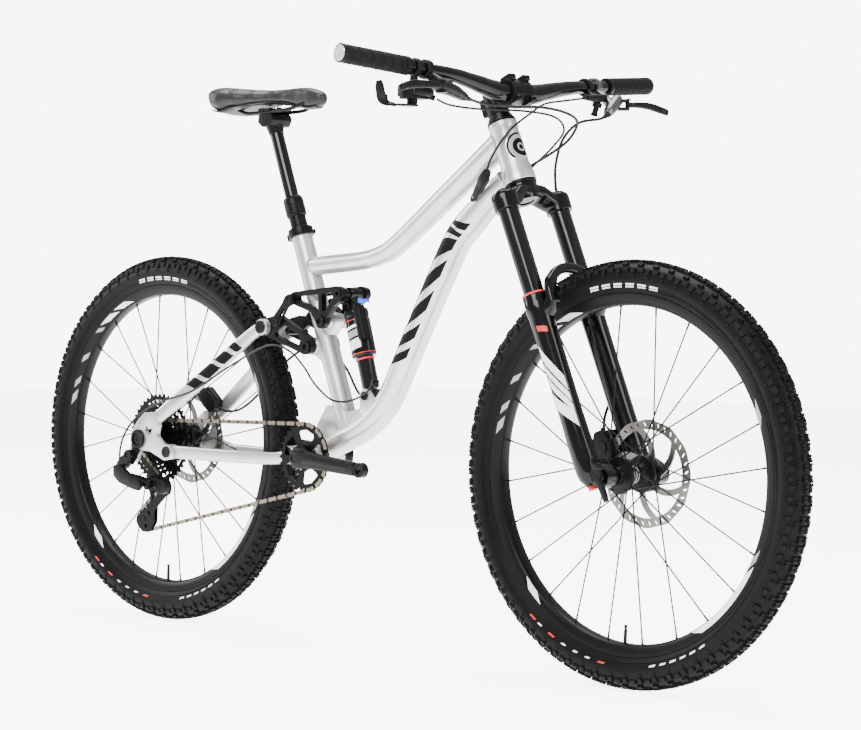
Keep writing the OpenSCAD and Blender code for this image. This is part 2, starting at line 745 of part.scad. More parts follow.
module cassette() {
    color("#202020") difference() {
        union() {
            for (i = [0:len(cogs) - 1]) {
                r = pitch_r(cogs[i]) + (cogs[i] == cog_teeth ? -chain_half - 0.5 : 2);
                y = cog_y0 - cog_step * i;
                pin(rear_axle_p, -y - 0.9, -y + 0.9, r);
            }
            pin(rear_axle_p, -cog_y0 - 0.9, -26, 17.5);
        }
        pin(rear_axle_p, -90, 0, 10.3);
        for (a = [0:60:300]) translate([rear_axle_p[0], 0, rear_axle_p[1]]) rotate([0, a, 0])
            pin([50, 0], -34, 0, 9);
    }
}
// Directed tangent from circle a to circle b; each circle is [centre, radius, turn], turn 1 is
// anticlockwise. It returns the direction of travel in degrees.
function tangent_dir(a, b) =
    let (d = b[0] - a[0])
    atan2(d[1], d[0]) - asin((b[2] * b[1] - a[2] * a[1]) / norm(d));
function left_normal(t) = [-sin(t), cos(t)];
chain_circles = [
    [bb_p, pitch_r(ring_teeth), -1],
    [tension_p, pitch_r(pulley_teeth), -1],
    [guide_p, pitch_r(pulley_teeth), 1],
    [rear_axle_p, pitch_r(cog_teeth), -1]];
// Travel directions round each circle, from the incoming run to the outgoing one
function run_dir(i) = tangent_dir(chain_circles[i % 4], chain_circles[(i + 1) % 4]);
function arc_span(i) =
    let (t0 = run_dir((i + 3) % 4), t1 = run_dir(i), turn = chain_circles[i][2],
        d = turn * (t1 - t0), w = d - 360 * floor(d / 360))
    turn * w;
function chain_line(shift) = [for (i = [0:3])
    let (c = chain_circles[i], t0 = run_dir((i + 3) % 4), span = arc_span(i),
        n = ceil(abs(span) / 12))
    for (k = [0:n]) let (nn = left_normal(t0 + span * k / n))
        c[0] - c[2] * c[1] * nn + shift * nn];
module chain() {
    color("tan") side(-chain_y - 2.6, -chain_y + 2.6) difference() {
        polygon(chain_line(chain_half));
        polygon(chain_line(-chain_half));
    }
}
module chainring() {
    color("#181818") side(-chain_y - 1.8, -chain_y + 1.8) difference() {
        translate(bb_p) circle(r = pitch_r(ring_teeth) - chain_half - 0.6);
        translate(bb_p) circle(r = 17);
        for (a = [8:72:350]) translate(bb_p) rotate(a) translate([38, 0]) circle(r = 9);
    }
}
// Outline of a crank arm in its own plane, pointing along +X from the spindle
module arm_outline() {
    circle(r = 19.5);
    polygon([[0, -19], [40, -15], [crank_len, -12], [crank_len, 12], [40, 15], [0, 19]]);
}
// One arm, leaning outward to the pedal end; it lies at -Y, pointing along +X
module crank_arm(root_y) {
    difference() {
        union() {
            rotate([0, 0, -2.5]) translate([0, root_y, 0]) rotate([90, 0, 0])
                linear_extrude(13) arm_outline();
            translate([crank_len, -67, 0]) rotate([90, 0, 0]) cylinder(h = 15.5, r = 13.5);
        }
        translate([crank_len, -60, 0]) rotate([90, 0, 0]) cylinder(h = 30, r = 7);
        // flat round the pedal hole on the inner face
        translate([crank_len, -50, 0]) rotate([90, 0, 0]) cylinder(h = 17, r = 15);
    }
}
module crank_arms() {
    color("#181818") translate([bb_p[0], 0, bb_p[1]]) rotate([0, crank_drop, 0]) {
        crank_arm(-62);
        rotate([0, 0, 180]) crank_arm(-56);
        rotate([90, 0, 0]) {
            translate([0, 0, 46.8]) cylinder(h = 16, r = 16.9);
            translate([0, 0, chain_y + 1.8]) cylinder(h = 13, r = 20.5);
            translate([0, 0, -58]) cylinder(h = 105, r = 12);
        }
    }
}
hanger_outline = [[-603, 320], [-592, 330], [-581, 320], [-592, 306], [-602, 295], [-618, 293],
    [-622, 304], [-612, 314]];
// Pivots at the two ends of the derailleur's links, and the direction of both pivot pins
link_a = [-608, -86, 290];
link_b = [-546, -80, 268];
pin_dir = unit([link_a[2] - link_b[2], 0, link_b[0] - link_a[0]]);
pin_tilt = atan2(pin_dir[0], pin_dir[2]);
// A cylinder along the pivot pins' direction, from t0 to t1 past the point p
module link_pin(p, t0, t1, r) {
    rod(p + t0 * pin_dir, p + t1 * pin_dir, r, r);
}
module derailleur_hanger() {
    color("black") difference() {
        union() {
            pin(hanger_p, -80, -71, 5);
            pin(hanger_p, -96, -80, 11);
            side(-94, -80.1) polygon(hanger_outline);
        }
        link_pin(link_a, -2, 12, 3.05);
    }
}
// Outer and inner links of the derailleur, with the pin that turns in the hanger
module derailleur_links() {
    color("black") {
        link_pin(link_a, -9, 11, 3);
        difference() {
            union() {
                rod(link_a + [0, -4, 0], link_b + [4, -0.5, -1.5], 8, 6);
                rod(link_a + [2, 12.5, -2], link_b + [-10, 16, 1], 5.5, 5);
                side(-92, -72) polygon([[-602, 277], [-607, 286], [-598, 285], [-594, 277]]);
            }
            side(-100, -60) offset(r = 1.6) polygon(hanger_outline);
            link_pin(link_b, -20, 20, 2.95);
        }
    }
}
// The lower knuckle holds the cage's pivot, and two ears with a pin for the links
module derailleur_knuckle() {
    color("black") difference() {
        union() {
            pin(knuckle_p, -74, -57, 14.2);
            side(-73, -62) polygon([[-548, 260], [-545, 275], [-520, 277], [-510, 254],
                [-530, 250]]);
            for (t = [-10.6, 7.6]) translate(link_b) rotate([0, pin_tilt, 0]) translate([0, 0, t])
                linear_extrude(3) union() {
                    circle(r = 5.6);
                    polygon([[-5, -2], [5, -3], [16, 8], [16, 16], [4, 16]]);
                }
            link_pin(link_b, -10, 10, 2.9);
        }
        pin(knuckle_p, -62, -50, 6);
    }
}
cage_outer = [[-506, 262], [-510, 250], [-524, 244], [-540, 228], [-556, 216], [-556, 200],
    [-554, 190], [-571, 173], [-589, 172], [-608, 188], [-608, 200], [-596, 206], [-578, 218],
    [-566, 236], [-576, 262], [-572, 280], [-556, 282], [-526, 276], [-512, 274]];
cage_inner = [[-550, 262], [-548, 246], [-558, 226], [-560, 190], [-573, 176], [-588, 175],
    [-602, 188], [-602, 202], [-586, 216], [-574, 240], [-577, 264], [-570, 278], [-556, 278]];
module derailleur_cage() {
    color("black") {
        side(-54.6, -52.6) polygon(cage_outer);
        side(-44.4, -42.6) polygon(cage_inner);
        pin(guide_p, -52.8, -44.2, 3.4);
        pin(tension_p, -52.8, -44.2, 3.4);
        pin(tension_p, -56, -54.4, 5);
        pin(knuckle_p, -61.5, -52.8, 5.9);
    }
}
module pulley(p) {
    color("#181818") difference() {
        pin(p, -chain_y - 1.4, -chain_y + 1.4, pitch_r(pulley_teeth) - chain_half - 0.5);
        pin(p, -90, 0, 3.5);
    }
}
module upper_pulley() {
    pulley(guide_p);
}
module lower_pulley() {
    pulley(tension_p);
}

// ---------- seat ----------

rail_y = 22;
rail_z = 974;
function rail_at(s, x) = [x, s * rail_y, rail_z - (-245 - x) * 4 / 95];
module dropper_stanchion() {
    color("black") difference() {
        union() {
            on_seat_tube() translate([0, 0, -85]) cylinder(h = 290, r = 12.7);
            on_seat_tube() translate([-14, -17, 192]) cube([28, 34, 16]);
            translate([-311, -27, 951]) cube([38, 54, 21]);
        }
        for (s = [-1, 1]) rod(rail_at(s, -340), rail_at(s, -245), 3.5, 3.5);
    }
}
module saddle_rails() {
    color("dimgray") for (s = [-1, 1]) {
        rod(rail_at(s, -340), rail_at(s, -245), 3.5, 3.5);
        rod(rail_at(s, -245), [-190, s * 12, 986.3], 3.5, 3.5);
        translate(rail_at(s, -245)) sphere(r = 3.7);
        rod(rail_at(s, -340), [-385, s * 30, 986.2], 3.5, 3.5);
        translate(rail_at(s, -340)) sphere(r = 3.7);
    }
    color("black") translate([-308, -28, 972.4]) cube([32, 56, 6]);
}
saddle_plan = [[-155, -8], [-155, 8], [-162, 16], [-200, 19], [-260, 26], [-320, 48], [-370, 67],
    [-400, 69], [-418, 60], [-424, 30], [-424, -30], [-418, -60], [-400, -69], [-370, -67],
    [-320, -48], [-260, -26], [-200, -19], [-162, -16]];
saddle_side = [[-155, 1000], [-160, 1009], [-200, 1013], [-280, 1013], [-360, 1017], [-405, 1022],
    [-424, 1018], [-424, 1000], [-400, 990], [-330, 990], [-260, 991], [-180, 990]];
module saddle() {
    color("#1a1a1a") intersection() {
        side(-80, 80) polygon(saddle_side);
        translate([0, 0, 980]) linear_extrude(50) polygon(saddle_plan);
    }
}
module seat_clamp_lever() {
    color("dimgray") on_seat_tube() {
        translate([-26, 13.4, -9]) cylinder(h = 10, r = 4.8);
        difference() {
            translate([0, 0, -8]) cylinder(h = 8, r = 28.5);
            translate([0, 0, -9]) cylinder(h = 10, r = 24);
            translate([-60, -60, -9]) cube([120, 60, 10]);
            translate([6, -1, -9]) cube([40, 60, 10]);
            rotate([0, 0, 152]) translate([-1, 0, -9]) cube([60, 60, 10]);
        }
    }
}

front_frame();
bearing_cups();
seat_clamp_collar();
dropper_outer_tube();
pivot_bolts();
color("#151515") hose(front_hose_route, hose_r, [0.6, 0, 0.3]);  // front_brake_hose
color("#151515") {  // rear_brake_hose
        hose(rear_hose_front_route, hose_r, [0.5, 0.1, 0.8]);
        hose(rear_hose_stay_route, hose_r, [0.1, 1, 0.1]);
    }
color("#151515") {  // shift_housing
        hose(shift_front_route, 2, [0.5, 0.1, 0.8]);
        hose(shift_stay_route, 2, [0, 1, 0]);
    }
color("#151515") hose(dropper_hose_route, 2, [1, 0, 0]);  // dropper_hose
fork_crown();
fork_stanchions();
stem();
handlebar();
grips();
brake_bodies();
shifter_body();
dropper_remote();
fork_lowers();
front_caliper();
front_axle();
rebound_knob();
compression_knob();
left_brake_lever();
right_brake_lever();
shift_paddle();
remote_button();
shock_lever();
seat_clamp_lever();
front_tyre();
front_rim();
front_spokes();
front_hub();
front_rotor();
rear_tyre();
rear_rim();
rear_spokes();
rear_hub();
rear_rotor();
chainstay();
seatstays();
lower_link();
rocker();
link_struts();
shock_body();
shock_shaft();
rear_axle();
rear_caliper();
cassette();
derailleur_hanger();
derailleur_links();
derailleur_knuckle();
derailleur_cage();
upper_pulley();
lower_pulley();
crank_arms();
chainring();
chain();
dropper_stanchion();
saddle_rails();
saddle();
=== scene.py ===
import bpy
import bmesh
import math
from mathutils import Matrix, Vector


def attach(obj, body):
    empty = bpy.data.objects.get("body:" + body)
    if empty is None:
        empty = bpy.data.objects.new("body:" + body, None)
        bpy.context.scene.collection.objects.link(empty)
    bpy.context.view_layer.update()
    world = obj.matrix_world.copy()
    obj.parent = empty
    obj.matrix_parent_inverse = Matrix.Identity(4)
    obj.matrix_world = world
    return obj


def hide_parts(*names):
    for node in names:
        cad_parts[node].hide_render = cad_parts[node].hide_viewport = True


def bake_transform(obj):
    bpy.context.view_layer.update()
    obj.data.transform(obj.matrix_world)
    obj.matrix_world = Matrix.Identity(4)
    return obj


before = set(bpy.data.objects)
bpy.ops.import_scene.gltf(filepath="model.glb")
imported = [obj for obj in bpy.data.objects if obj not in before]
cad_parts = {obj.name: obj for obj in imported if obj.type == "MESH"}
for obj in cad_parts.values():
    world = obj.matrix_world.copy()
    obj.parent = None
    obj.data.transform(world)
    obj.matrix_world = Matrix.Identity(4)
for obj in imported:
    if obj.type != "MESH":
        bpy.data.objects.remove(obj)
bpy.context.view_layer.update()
PI = math.pi


# ---------------------------------------------------------------- camera and light
scene = bpy.context.scene
CAM_YAW, CAM_PITCH, CAM_ROLL = 0.7585, 0.0304, 0.0171
cam_back = Vector((math.sin(CAM_YAW) * math.cos(CAM_PITCH), -math.cos(CAM_YAW) * math.cos(CAM_PITCH),
                   math.sin(CAM_PITCH)))
cam_right = Vector((math.cos(CAM_YAW), math.sin(CAM_YAW), 0))
cam_up = cam_back.cross(cam_right)
cam_x = cam_right * math.cos(CAM_ROLL) + cam_up * math.sin(CAM_ROLL)
cam_y = cam_up * math.cos(CAM_ROLL) - cam_right * math.sin(CAM_ROLL)
cam_data = bpy.data.cameras.new("camera")
cam_data.sensor_width = 36
cam_data.lens = 107.13
cam_data.clip_end = 100
cam = bpy.data.objects.new("camera", cam_data)
scene.collection.objects.link(cam)
m = Matrix.Identity(4)
for row in range(3):
    m[row][0], m[row][1], m[row][2] = cam_x[row], cam_y[row], cam_back[row]
m.translation = Vector((3.20794, -3.26107, 0.65292))
cam.matrix_world = m
scene.camera = cam

world = bpy.data.worlds.new("studio")
scene.world = world
world.use_nodes = True
wn = world.node_tree.nodes
bg = wn["Background"]
bg.inputs[0].default_value = (0.97, 0.985, 1, 1)
bg.inputs[1].default_value = 0.8
# the backdrop seen directly is white; the light it gives is softer
bright = wn.new("ShaderNodeBackground")
bright.inputs[1].default_value = 10
seen = wn.new("ShaderNodeLightPath")
mix = wn.new("ShaderNodeMixShader")
wl = world.node_tree.links
wl.new(seen.outputs["Is Camera Ray"], mix.inputs[0])
wl.new(bg.outputs[0], mix.inputs[1])
wl.new(bright.outputs[0], mix.inputs[2])
wl.new(mix.outputs[0], wn["World Output"].inputs[0])


def area(name, loc, aim, size, power, colour=(1, 1, 1)):
    d = bpy.data.lights.new(name, "AREA")
    d.shape = "RECTANGLE"
    d.size, d.size_y = size
    d.energy = power
    d.color = colour
    o = bpy.data.objects.new(name, d)
    o.location = loc
    o.rotation_euler = (Vector(aim) - Vector(loc)).to_track_quat("-Z", "Y").to_euler()
    scene.collection.objects.link(o)


area("key", (1.2, -3.4, 3.2), (0, 0, 0.5), (2.6, 1.6), 230)
area("front", (4.0, 0.6, 1.9), (0.4, 0, 0.6), (1.4, 2.4), 120)
area("top", (-0.6, 0.5, 4.2), (-0.1, 0, 0.4), (3.0, 3.0), 330)
area("rim", (-3.2, -1.2, 1.8), (-0.4, 0, 0.5), (1.0, 2.2), 90)


# ---------------------------------------------------------------- materials
def new_mat(name):
    mt = bpy.data.materials.new(name)
    mt.use_nodes = True
    nt = mt.node_tree
    return mt, nt, nt.nodes["Principled BSDF"]


def noise(mapping, scale, detail):
    """A noise texture on a mapping node's coordinates."""
    nt = mapping.id_data
    tex = nt.nodes.new("ShaderNodeTexNoise")
    tex.inputs["Scale"].default_value = scale
    tex.inputs["Detail"].default_value = detail
    nt.links.new(mapping.outputs[0], tex.inputs["Vector"])
    return tex


def make(name, colour, rough=0.4, metal=0.0, var=0.2, scale=40, grain=900, bump=0.15, stretch=(1, 1, 1),
         coat=0.0,
         rough_var=0.12, tint=None, ior=None):
    """A surface with two sizes of noise in its colour, its roughness and its relief."""
    mt, nt, b = new_mat(name)
    n, l = nt.nodes, nt.links
    tc = n.new("ShaderNodeTexCoord")
    mp = n.new("ShaderNodeMapping")
    mp.inputs["Scale"].default_value = stretch
    l.new(tc.outputs["Object"], mp.inputs[0])
    big = noise(mp, scale, 4)
    ramp = n.new("ShaderNodeValToRGB")
    lo = [max(0, c * (1 - var)) for c in colour]
    hi = [min(1, c * (1 + var)) for c in (tint or colour)]
    ramp.color_ramp.elements[0].position = 0.3
    ramp.color_ramp.elements[0].color = (*lo, 1)
    ramp.color_ramp.elements[1].position = 0.7
    ramp.color_ramp.elements[1].color = (*hi, 1)
    l.new(big.outputs["Fac"], ramp.inputs[0])
    l.new(ramp.outputs[0], b.inputs["Base Color"])
    fine = noise(mp, grain, 3)
    mr = n.new("ShaderNodeMapRange")
    mr.inputs[1].default_value, mr.inputs[2].default_value = 0.25, 0.75
    mr.inputs[3].default_value = max(0.02, rough - rough_var)
    mr.inputs[4].default_value = min(1, rough + rough_var)
    l.new(fine.outputs["Fac"], mr.inputs[0])
    l.new(mr.outputs[0], b.inputs["Roughness"])
    bp = n.new("ShaderNodeBump")
    bp.inputs["Strength"].default_value = bump
    bp.inputs["Distance"].default_value = 0.0006
    l.new(fine.outputs["Fac"], bp.inputs["Height"])
    l.new(bp.outputs[0], b.inputs["Normal"])
    b.inputs["Metallic"].default_value = metal
    if coat:
        b.inputs["Coat Weight"].default_value = coat
        b.inputs["Coat Roughness"].default_value = 0.06
    if ior:
        b.inputs["IOR"].default_value = ior
    return mt


RAW = make("raw_aluminium", (0.55, 0.543, 0.525), 0.34, 0.82, 0.12, 11, 420, 0.06, (1.6, 3, 1), 0.3, 0.1)
WELD = make("weld_bead", (0.36, 0.35, 0.325), 0.33, 0.9, 0.10, 120, 700, 0.35, rough_var=0.1)
ANOD = make("black_anodised", (0.0035, 0.0035, 0.004), 0.32, 0.0, 0.25, 60, 1500, 0.08, rough_var=0.08,
            ior=1.2)
PAINT = make("gloss_black", (0.002, 0.002, 0.0023), 0.13, 0.0, 0.2, 30, 600, 0.02, rough_var=0.04, ior=1.30)
STANCH = make("stanchion_black", (0.003, 0.003, 0.0035), 0.11, 0.0, 0.2, 40, 1200, 0.02, (4, 4, 1),
              rough_var=0.04,
              ior=1.36)
GUN = make("gunmetal", (0.10, 0.10, 0.103), 0.28, 0.85, 0.15, 60, 1300, 0.08)
SILVER = make("satin_silver", (0.55, 0.55, 0.55), 0.3, 0.9, 0.08, 80, 1300, 0.1)
STEEL = make("rotor_steel", (0.17, 0.16, 0.145), 0.30, 0.95, 0.10, 60, 1100, 0.12, rough_var=0.08)
TREAD = make("tread_rubber", (0.0042, 0.0042, 0.0044), 0.58, 0.0, 0.3, 90, 1300, 0.35, rough_var=0.1,
             ior=1.17)
SIDEWALL = make("sidewall_rubber", (0.0032, 0.0032, 0.0034), 0.45, 0.0, 0.22, 35, 900, 0.2, rough_var=0.08,
                ior=1.16)
RIM = make("rim_satin_black", (0.003, 0.003, 0.0032), 0.34, 0.0, 0.2, 24, 900, 0.04, rough_var=0.05, ior=1.2)
WHITE = make("white_decal", (0.78, 0.78, 0.79), 0.38, 0.0, 0.06, 30, 900, 0.03)
GREY = make("grey_decal", (0.24, 0.245, 0.25), 0.36, 0.0, 0.10, 30, 900, 0.03)
DARK = make("dark_decal", (0.003, 0.003, 0.0033), 0.42, 0.0, 0.2, 30, 900, 0.04, ior=1.15)
RED = make("red_anodised", (0.40, 0.004, 0.006), 0.28, 0.5, 0.12, 60, 900, 0.06)
REDSEAL = make("red_seal", (0.50, 0.008, 0.010), 0.45, 0.0, 0.1, 60, 900, 0.06)
BLUE = make("blue_anodised", (0.02, 0.13, 0.75), 0.3, 0.5, 0.12, 60, 900, 0.06)
GRIP = make("grip_rubber", (0.0045, 0.0045, 0.0048), 0.6, 0.0, 0.25, 120, 1500, 0.3, ior=1.2)
HOSE = make("hose_jacket", (0.003, 0.003, 0.0033), 0.3, 0.0, 0.2, 60, 900, 0.05, rough_var=0.06, ior=1.3)
PLASTIC = make("moulded_plastic", (0.004, 0.004, 0.0044), 0.4, 0.0, 0.2, 90, 1600, 0.15, ior=1.2)
CHAIN_IN = make("chain_plate", (0.040, 0.032, 0.024), 0.30, 0.9, 0.12, 150, 1200, 0.1)
CHAIN_OUT = make("chain_outer_plate", (0.17, 0.145, 0.115), 0.26, 0.92, 0.12, 150, 1200, 0.1)
COG = make("cog_black", (0.003, 0.003, 0.0032), 0.36, 0.0, 0.3, 60, 1200, 0.1, ior=1.16)
SPOKE = make("black_spoke", (0.003, 0.003, 0.0033), 0.3, 0.0, 0.2, 30, 900, 0.04, ior=1.2)
COVER = make("saddle_cover", (0.010, 0.010, 0.0105), 0.38, 0.0, 0.2, 70, 1100, 0.28, rough_var=0.1, ior=1.36)
BOLT = make("black_bolt", (0.004, 0.004, 0.0045), 0.28, 0.0, 0.2, 90, 900, 0.06, ior=1.22)
CHROME = make("polished_fastener", (0.62, 0.62, 0.62), 0.2, 0.95, 0.1, 90, 900, 0.05)


# ---------------------------------------------------------------- geometry helpers, all in millimetres
E_Y = Vector((0, 1, 0))


def spline(pts, t):
    """A smooth curve through pts at t from 0 to len(pts) - 1."""
    n = len(pts) - 1
    i = min(int(t), n - 1)
    u = t - i
    a, b, c, d = (Vector(pts[max(i - 1, 0)]), Vector(pts[i]), Vector(pts[i + 1]), Vector(pts[min(i + 2, n)]))
    return 0.5 * (2 * b + (c - a) * u + (2 * a - 5 * b + 4 * c - d) * u * u
                  + (3 * b - a - 3 * c + d) * u ** 3)


class Mesh:
    """Collects faces for one piece."""

    def __init__(self):
        self.v, self.f = [], []

    def add(self, verts, faces):
        k = len(self.v)
        self.v += [tuple(p) for p in verts]
        self.f += [tuple(i + k for i in q) for q in faces]
        return self

    def turned(self, *args, **options):
        return self.add(*turned(*args, **options))

    def sweep(self, *args, **options):
        return self.add(*sweep(*args, **options))

    def flat(self, *args, **options):
        return self.add(*flat(*args, **options))

    def piece(self, name, body, mat, slot, angle=35, bevel=0.0, subsurf=0, hides=(), segments=2,
              bevel_angle=40):
        me = bpy.data.meshes.new(name)
        me.from_pydata([(x * 0.001, y * 0.001, z * 0.001) for x, y, z in self.v], [], self.f)
        bm = bmesh.new()
        bm.from_mesh(me)
        bmesh.ops.remove_doubles(bm, verts=bm.verts, dist=1e-6)
        bmesh.ops.recalc_face_normals(bm, faces=bm.faces)
        if bevel:
            es = [e for e in bm.edges
                  if len(e.link_faces) == 2 and e.calc_face_angle(0) > math.radians(bevel_angle)]
            bmesh.ops.bevel(bm, geom=es, offset=bevel * 0.001, segments=segments, affect="EDGES", profile=0.6,
                            clamp_overlap=True)
        bm.to_mesh(me)
        bm.free()
        for p in me.polygons:
            p.use_smooth = True
        me.set_sharp_from_angle(angle=math.radians(angle))
        me.materials.append(mat)
        o = bpy.data.objects.new(name, me)
        scene.collection.objects.link(o)
        if subsurf:
            md = o.modifiers.new("smooth", "SUBSURF")
            md.levels = md.render_levels = subsurf
        if body:
            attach(o, body)
        if hides:
            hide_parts(*hides)
        return o


def radii_at(rad, t):
    """Both radii of a swept path at t, eased from one station to the next."""
    n = len(rad) - 1
    i = min(int(t), n - 1)
    u = t - i
    u = u * u * (3 - 2 * u)
    a, b = rad[i], rad[i + 1]
    a = a if isinstance(a, tuple) else (a, a)
    b = b if isinstance(b, tuple) else (b, b)
    return a[0] + (b[0] - a[0]) * u, a[1] + (b[1] - a[1]) * u


def squared(a, power):
    """The cosine and sine of an angle, drawn toward a square when power is above 2."""
    c, s = math.cos(a), math.sin(a)
    if power != 2.0:
        c = math.copysign(abs(c) ** (2 / power), c)
        s = math.copysign(abs(s) ** (2 / power), s)
    return c, s


def stations(pts, rad, steps, side):
    """Points, tangents, both section axes and both radii along a smooth path."""
    n = (len(pts) - 1) * steps
    out = []
    ref = Vector(side) if side else None
    for k in range(n + 1):
        t = k / steps
        p = spline(pts, t)
        q = spline(pts, min(t + 0.02, len(pts) - 1)) - spline(pts, max(t - 0.02, 0))
        q.normalize()
        if ref is None:
            ref = q.orthogonal().normalized()
        w = (ref - q * ref.dot(q)).normalized()
        if side is None:
            ref = w
        out.append((p, q, q.cross(w), w, *radii_at(rad, t)))
    return out


def sweep(pts, rad, sides=24, steps=8, side=(0, 1, 0), power=2.0):
    """A tube along a smooth path.

    rad holds r or (r across, r along side); power above 2 squares the section.
    """
    st = stations(pts, rad, steps, side)
    verts, faces = [], []
    for p, q, u, w, ru, rw in st:
        for j in range(sides):
            c, s = squared(2 * PI * j / sides, power)
            verts.append(p + u * (ru * c) + w * (rw * s))
    for i in range(len(st) - 1):
        for j in range(sides):
            a, b = i * sides + j, i * sides + (j + 1) % sides
            faces.append((a, b, b + sides, a + sides))
    faces.append(tuple(range(sides - 1, -1, -1)))
    faces.append(tuple((len(st) - 1) * sides + j for j in range(sides)))
    return verts, faces


def turned(profile, origin, axis, n=48, closed=False, ref=None):
    """A solid of revolution from (radius, height) points about an axis."""
    ax = Vector(axis).normalized()
    u = Vector(ref).normalized() if ref else ax.orthogonal().normalized()
    w = ax.cross(u)
    o = Vector(origin)
    verts = []
    for r, h in profile:
        for j in range(n):
            a = 2 * PI * j / n
            verts.append(o + ax * h + (u * math.cos(a) + w * math.sin(a)) * r)
    m = len(profile)
    faces = []
    for i in range(m if closed else m - 1):
        for j in range(n):
            a, b = i * n + j, i * n + (j + 1) % n
            c, d = ((i + 1) % m) * n + (j + 1) % n, ((i + 1) % m) * n + j
            faces.append((a, b, c, d))
    if not closed:
        if profile[0][0] > 0.01:
            faces.append(tuple(range(n - 1, -1, -1)))
        if profile[-1][0] > 0.01:
            faces.append(tuple((m - 1) * n + j for j in range(n)))
    return verts, faces


def rounded(poly, r=3.0, n=4):
    """The polygon with its corners rounded; r is one radius or one for each corner."""
    out = []
    k = len(poly)
    for i in range(k):
        p = Vector((*poly[i], 0))
        a = Vector((*poly[i - 1], 0)) - p
        b = Vector((*poly[(i + 1) % k], 0)) - p
        la, lb = a.length, b.length
        a.normalize()
        b.normalize()
        ang = a.angle(b, PI)
        rr = r[i] if isinstance(r, (list, tuple)) else r
        if ang > 3.0 or rr <= 0:
            out.append((p.x, p.y))
            continue
        d = min(rr / math.tan(ang / 2), la * 0.45, lb * 0.45)
        s, e = p + a * d, p + b * d
        for j in range(n + 1):
            t = j / n
            q = s * (1 - t) ** 2 + p * (2 * t * (1 - t)) + e * t * t
            out.append((q.x, q.y))
    return out


def circle(c, r, n=24, turn=0.0):
    return [(c[0] + r * math.cos(2 * PI * j / n + turn),
             c[1] + r * math.sin(2 * PI * j / n + turn)) for j in range(n)]


def flat(outline, y0, y1, holes=(), place=None):
    """A flat plate from an [x, z] outline, from y0 to y1, with holes through it. place maps (x, y, z)."""
    bm = bmesh.new()
    loops = [outline, *holes]
    for lp in loops:
        vs = [bm.verts.new((x, z, 0)) for x, z in lp]
        for i in range(len(vs)):
            bm.edges.new((vs[i - 1], vs[i]))
    bmesh.ops.triangle_fill(bm, use_beauty=True, use_dissolve=False, edges=bm.edges[:])
    bm.verts.index_update()
    pts = [(v.co.x, v.co.y) for v in bm.verts]
    tris = [[v.index for v in f.verts] for f in bm.faces]
    bm.free()
    n = len(pts)
    verts = [(x, y0, z) for x, z in pts] + [(x, y1, z) for x, z in pts]
    faces = [tuple(t) for t in tris] + [tuple(i + n for i in reversed(t)) for t in tris]
    k = 0
    for lp in loops:
        c = len(lp)
        for i in range(c):
            a, b = k + i, k + (i + 1) % c
            faces.append((a, b, b + n, a + n))
        k += c
    if place:
        verts = [place(*p) for p in verts]
    return verts, faces


def closed_sheet(top, bottom, faces, across, along):
    """A thin closed solid from two grids of points."""
    n = len(top)
    out = [*faces, *[tuple(reversed([i + n for i in f])) for f in faces]]
    edge = list(range(across)) + [across * (j + 1) - 1 for j in range(1, along)]
    edge += [across * (along - 1) + i for i in range(across - 2, -1, -1)]
    edge += [across * j for j in range(along - 2, 0, -1)]
    for i, a in enumerate(edge):
        b = edge[(i + 1) % len(edge)]
        out.append((a, b, b + n, a + n))
    return [*top, *bottom], out


def skin(m, n, k, place):
    """A thin mark of n by k cells; place(u, v), each from 0 to 1, gives its outer and its inner point."""
    pairs = [place(i / n, j / k) for j in range(k + 1) for i in range(n + 1)]
    c = n + 1
    faces = [(j * c + i, j * c + i + 1, j * c + i + c + 1, j * c + i + c) for j in range(k) for i in range(n)]
    m.add(*closed_sheet([a for a, b in pairs], [b for a, b in pairs], faces, c, k + 1))


def bolt(m, at, axis, r, h, socket=0.0, sink=0.0, n=20):
    """A chamfered bolt head with a recess, standing h out of the surface at a point."""
    c = min(r, h) * 0.25
    s = socket or r * 0.5
    prof = [(0.001, h - min(h, r * 0.7)), (s, h - min(h, r * 0.7)), (s, h), (r - c, h), (r, h - c),
            (r, -sink), (0.001, -sink)]
    m.turned(prof, at, axis, n)


def mirror_y(vf):
    verts, faces = vf
    return [(p[0], -p[1], p[2]) for p in verts], [tuple(reversed(f)) for f in faces]


def both(m, vf):
    m.add(*vf)
    m.add(*mirror_y(vf))


def bead(m, loop, r=2.0, ripple=0.35, pitch=2.6, closed=True):
    """A weld bead along a loop of points, with the ripples of its puddles."""
    pts = [Vector(p) for p in loop]
    if closed:
        pts.append(pts[0])
    # points at even spacing, fine enough for the ripples
    length = [0.0]
    for a, b in zip(pts, pts[1:]):
        length.append(length[-1] + (b - a).length)
    total = length[-1]
    count = max(12, int(total / (pitch / 4)))
    path = []
    j = 0
    for k in range(count + (0 if closed else 1)):
        d = total * k / count
        while j < len(pts) - 2 and length[j + 1] < d:
            j += 1
        u = (d - length[j]) / max(1e-6, length[j + 1] - length[j])
        path.append((pts[j].lerp(pts[j + 1], u), d))
    nn = len(path)
    verts, faces = [], []
    for k, (p, d) in enumerate(path):
        a = path[(k - 1) % nn][0] if closed or k else p
        b = path[(k + 1) % nn][0] if closed or k < nn - 1 else p
        t = (b - a).normalized()
        u = t.orthogonal().normalized() if k == 0 else (u - t * u.dot(t)).normalized()
        w = t.cross(u)
        rr = r + ripple * abs(math.sin(PI * d / pitch))
        for i in range(6):
            g = 2 * PI * i / 6
            verts.append(p + u * (rr * math.cos(g)) + w * (rr * math.sin(g)))
    for k in range(nn if closed else nn - 1):
        for i in range(6):
            a, b = k * 6 + i, k * 6 + (i + 1) % 6
            c, e = ((k + 1) % nn) * 6 + (i + 1) % 6, ((k + 1) % nn) * 6 + i
            faces.append((a, b, c, e))
    m.add(verts, faces)


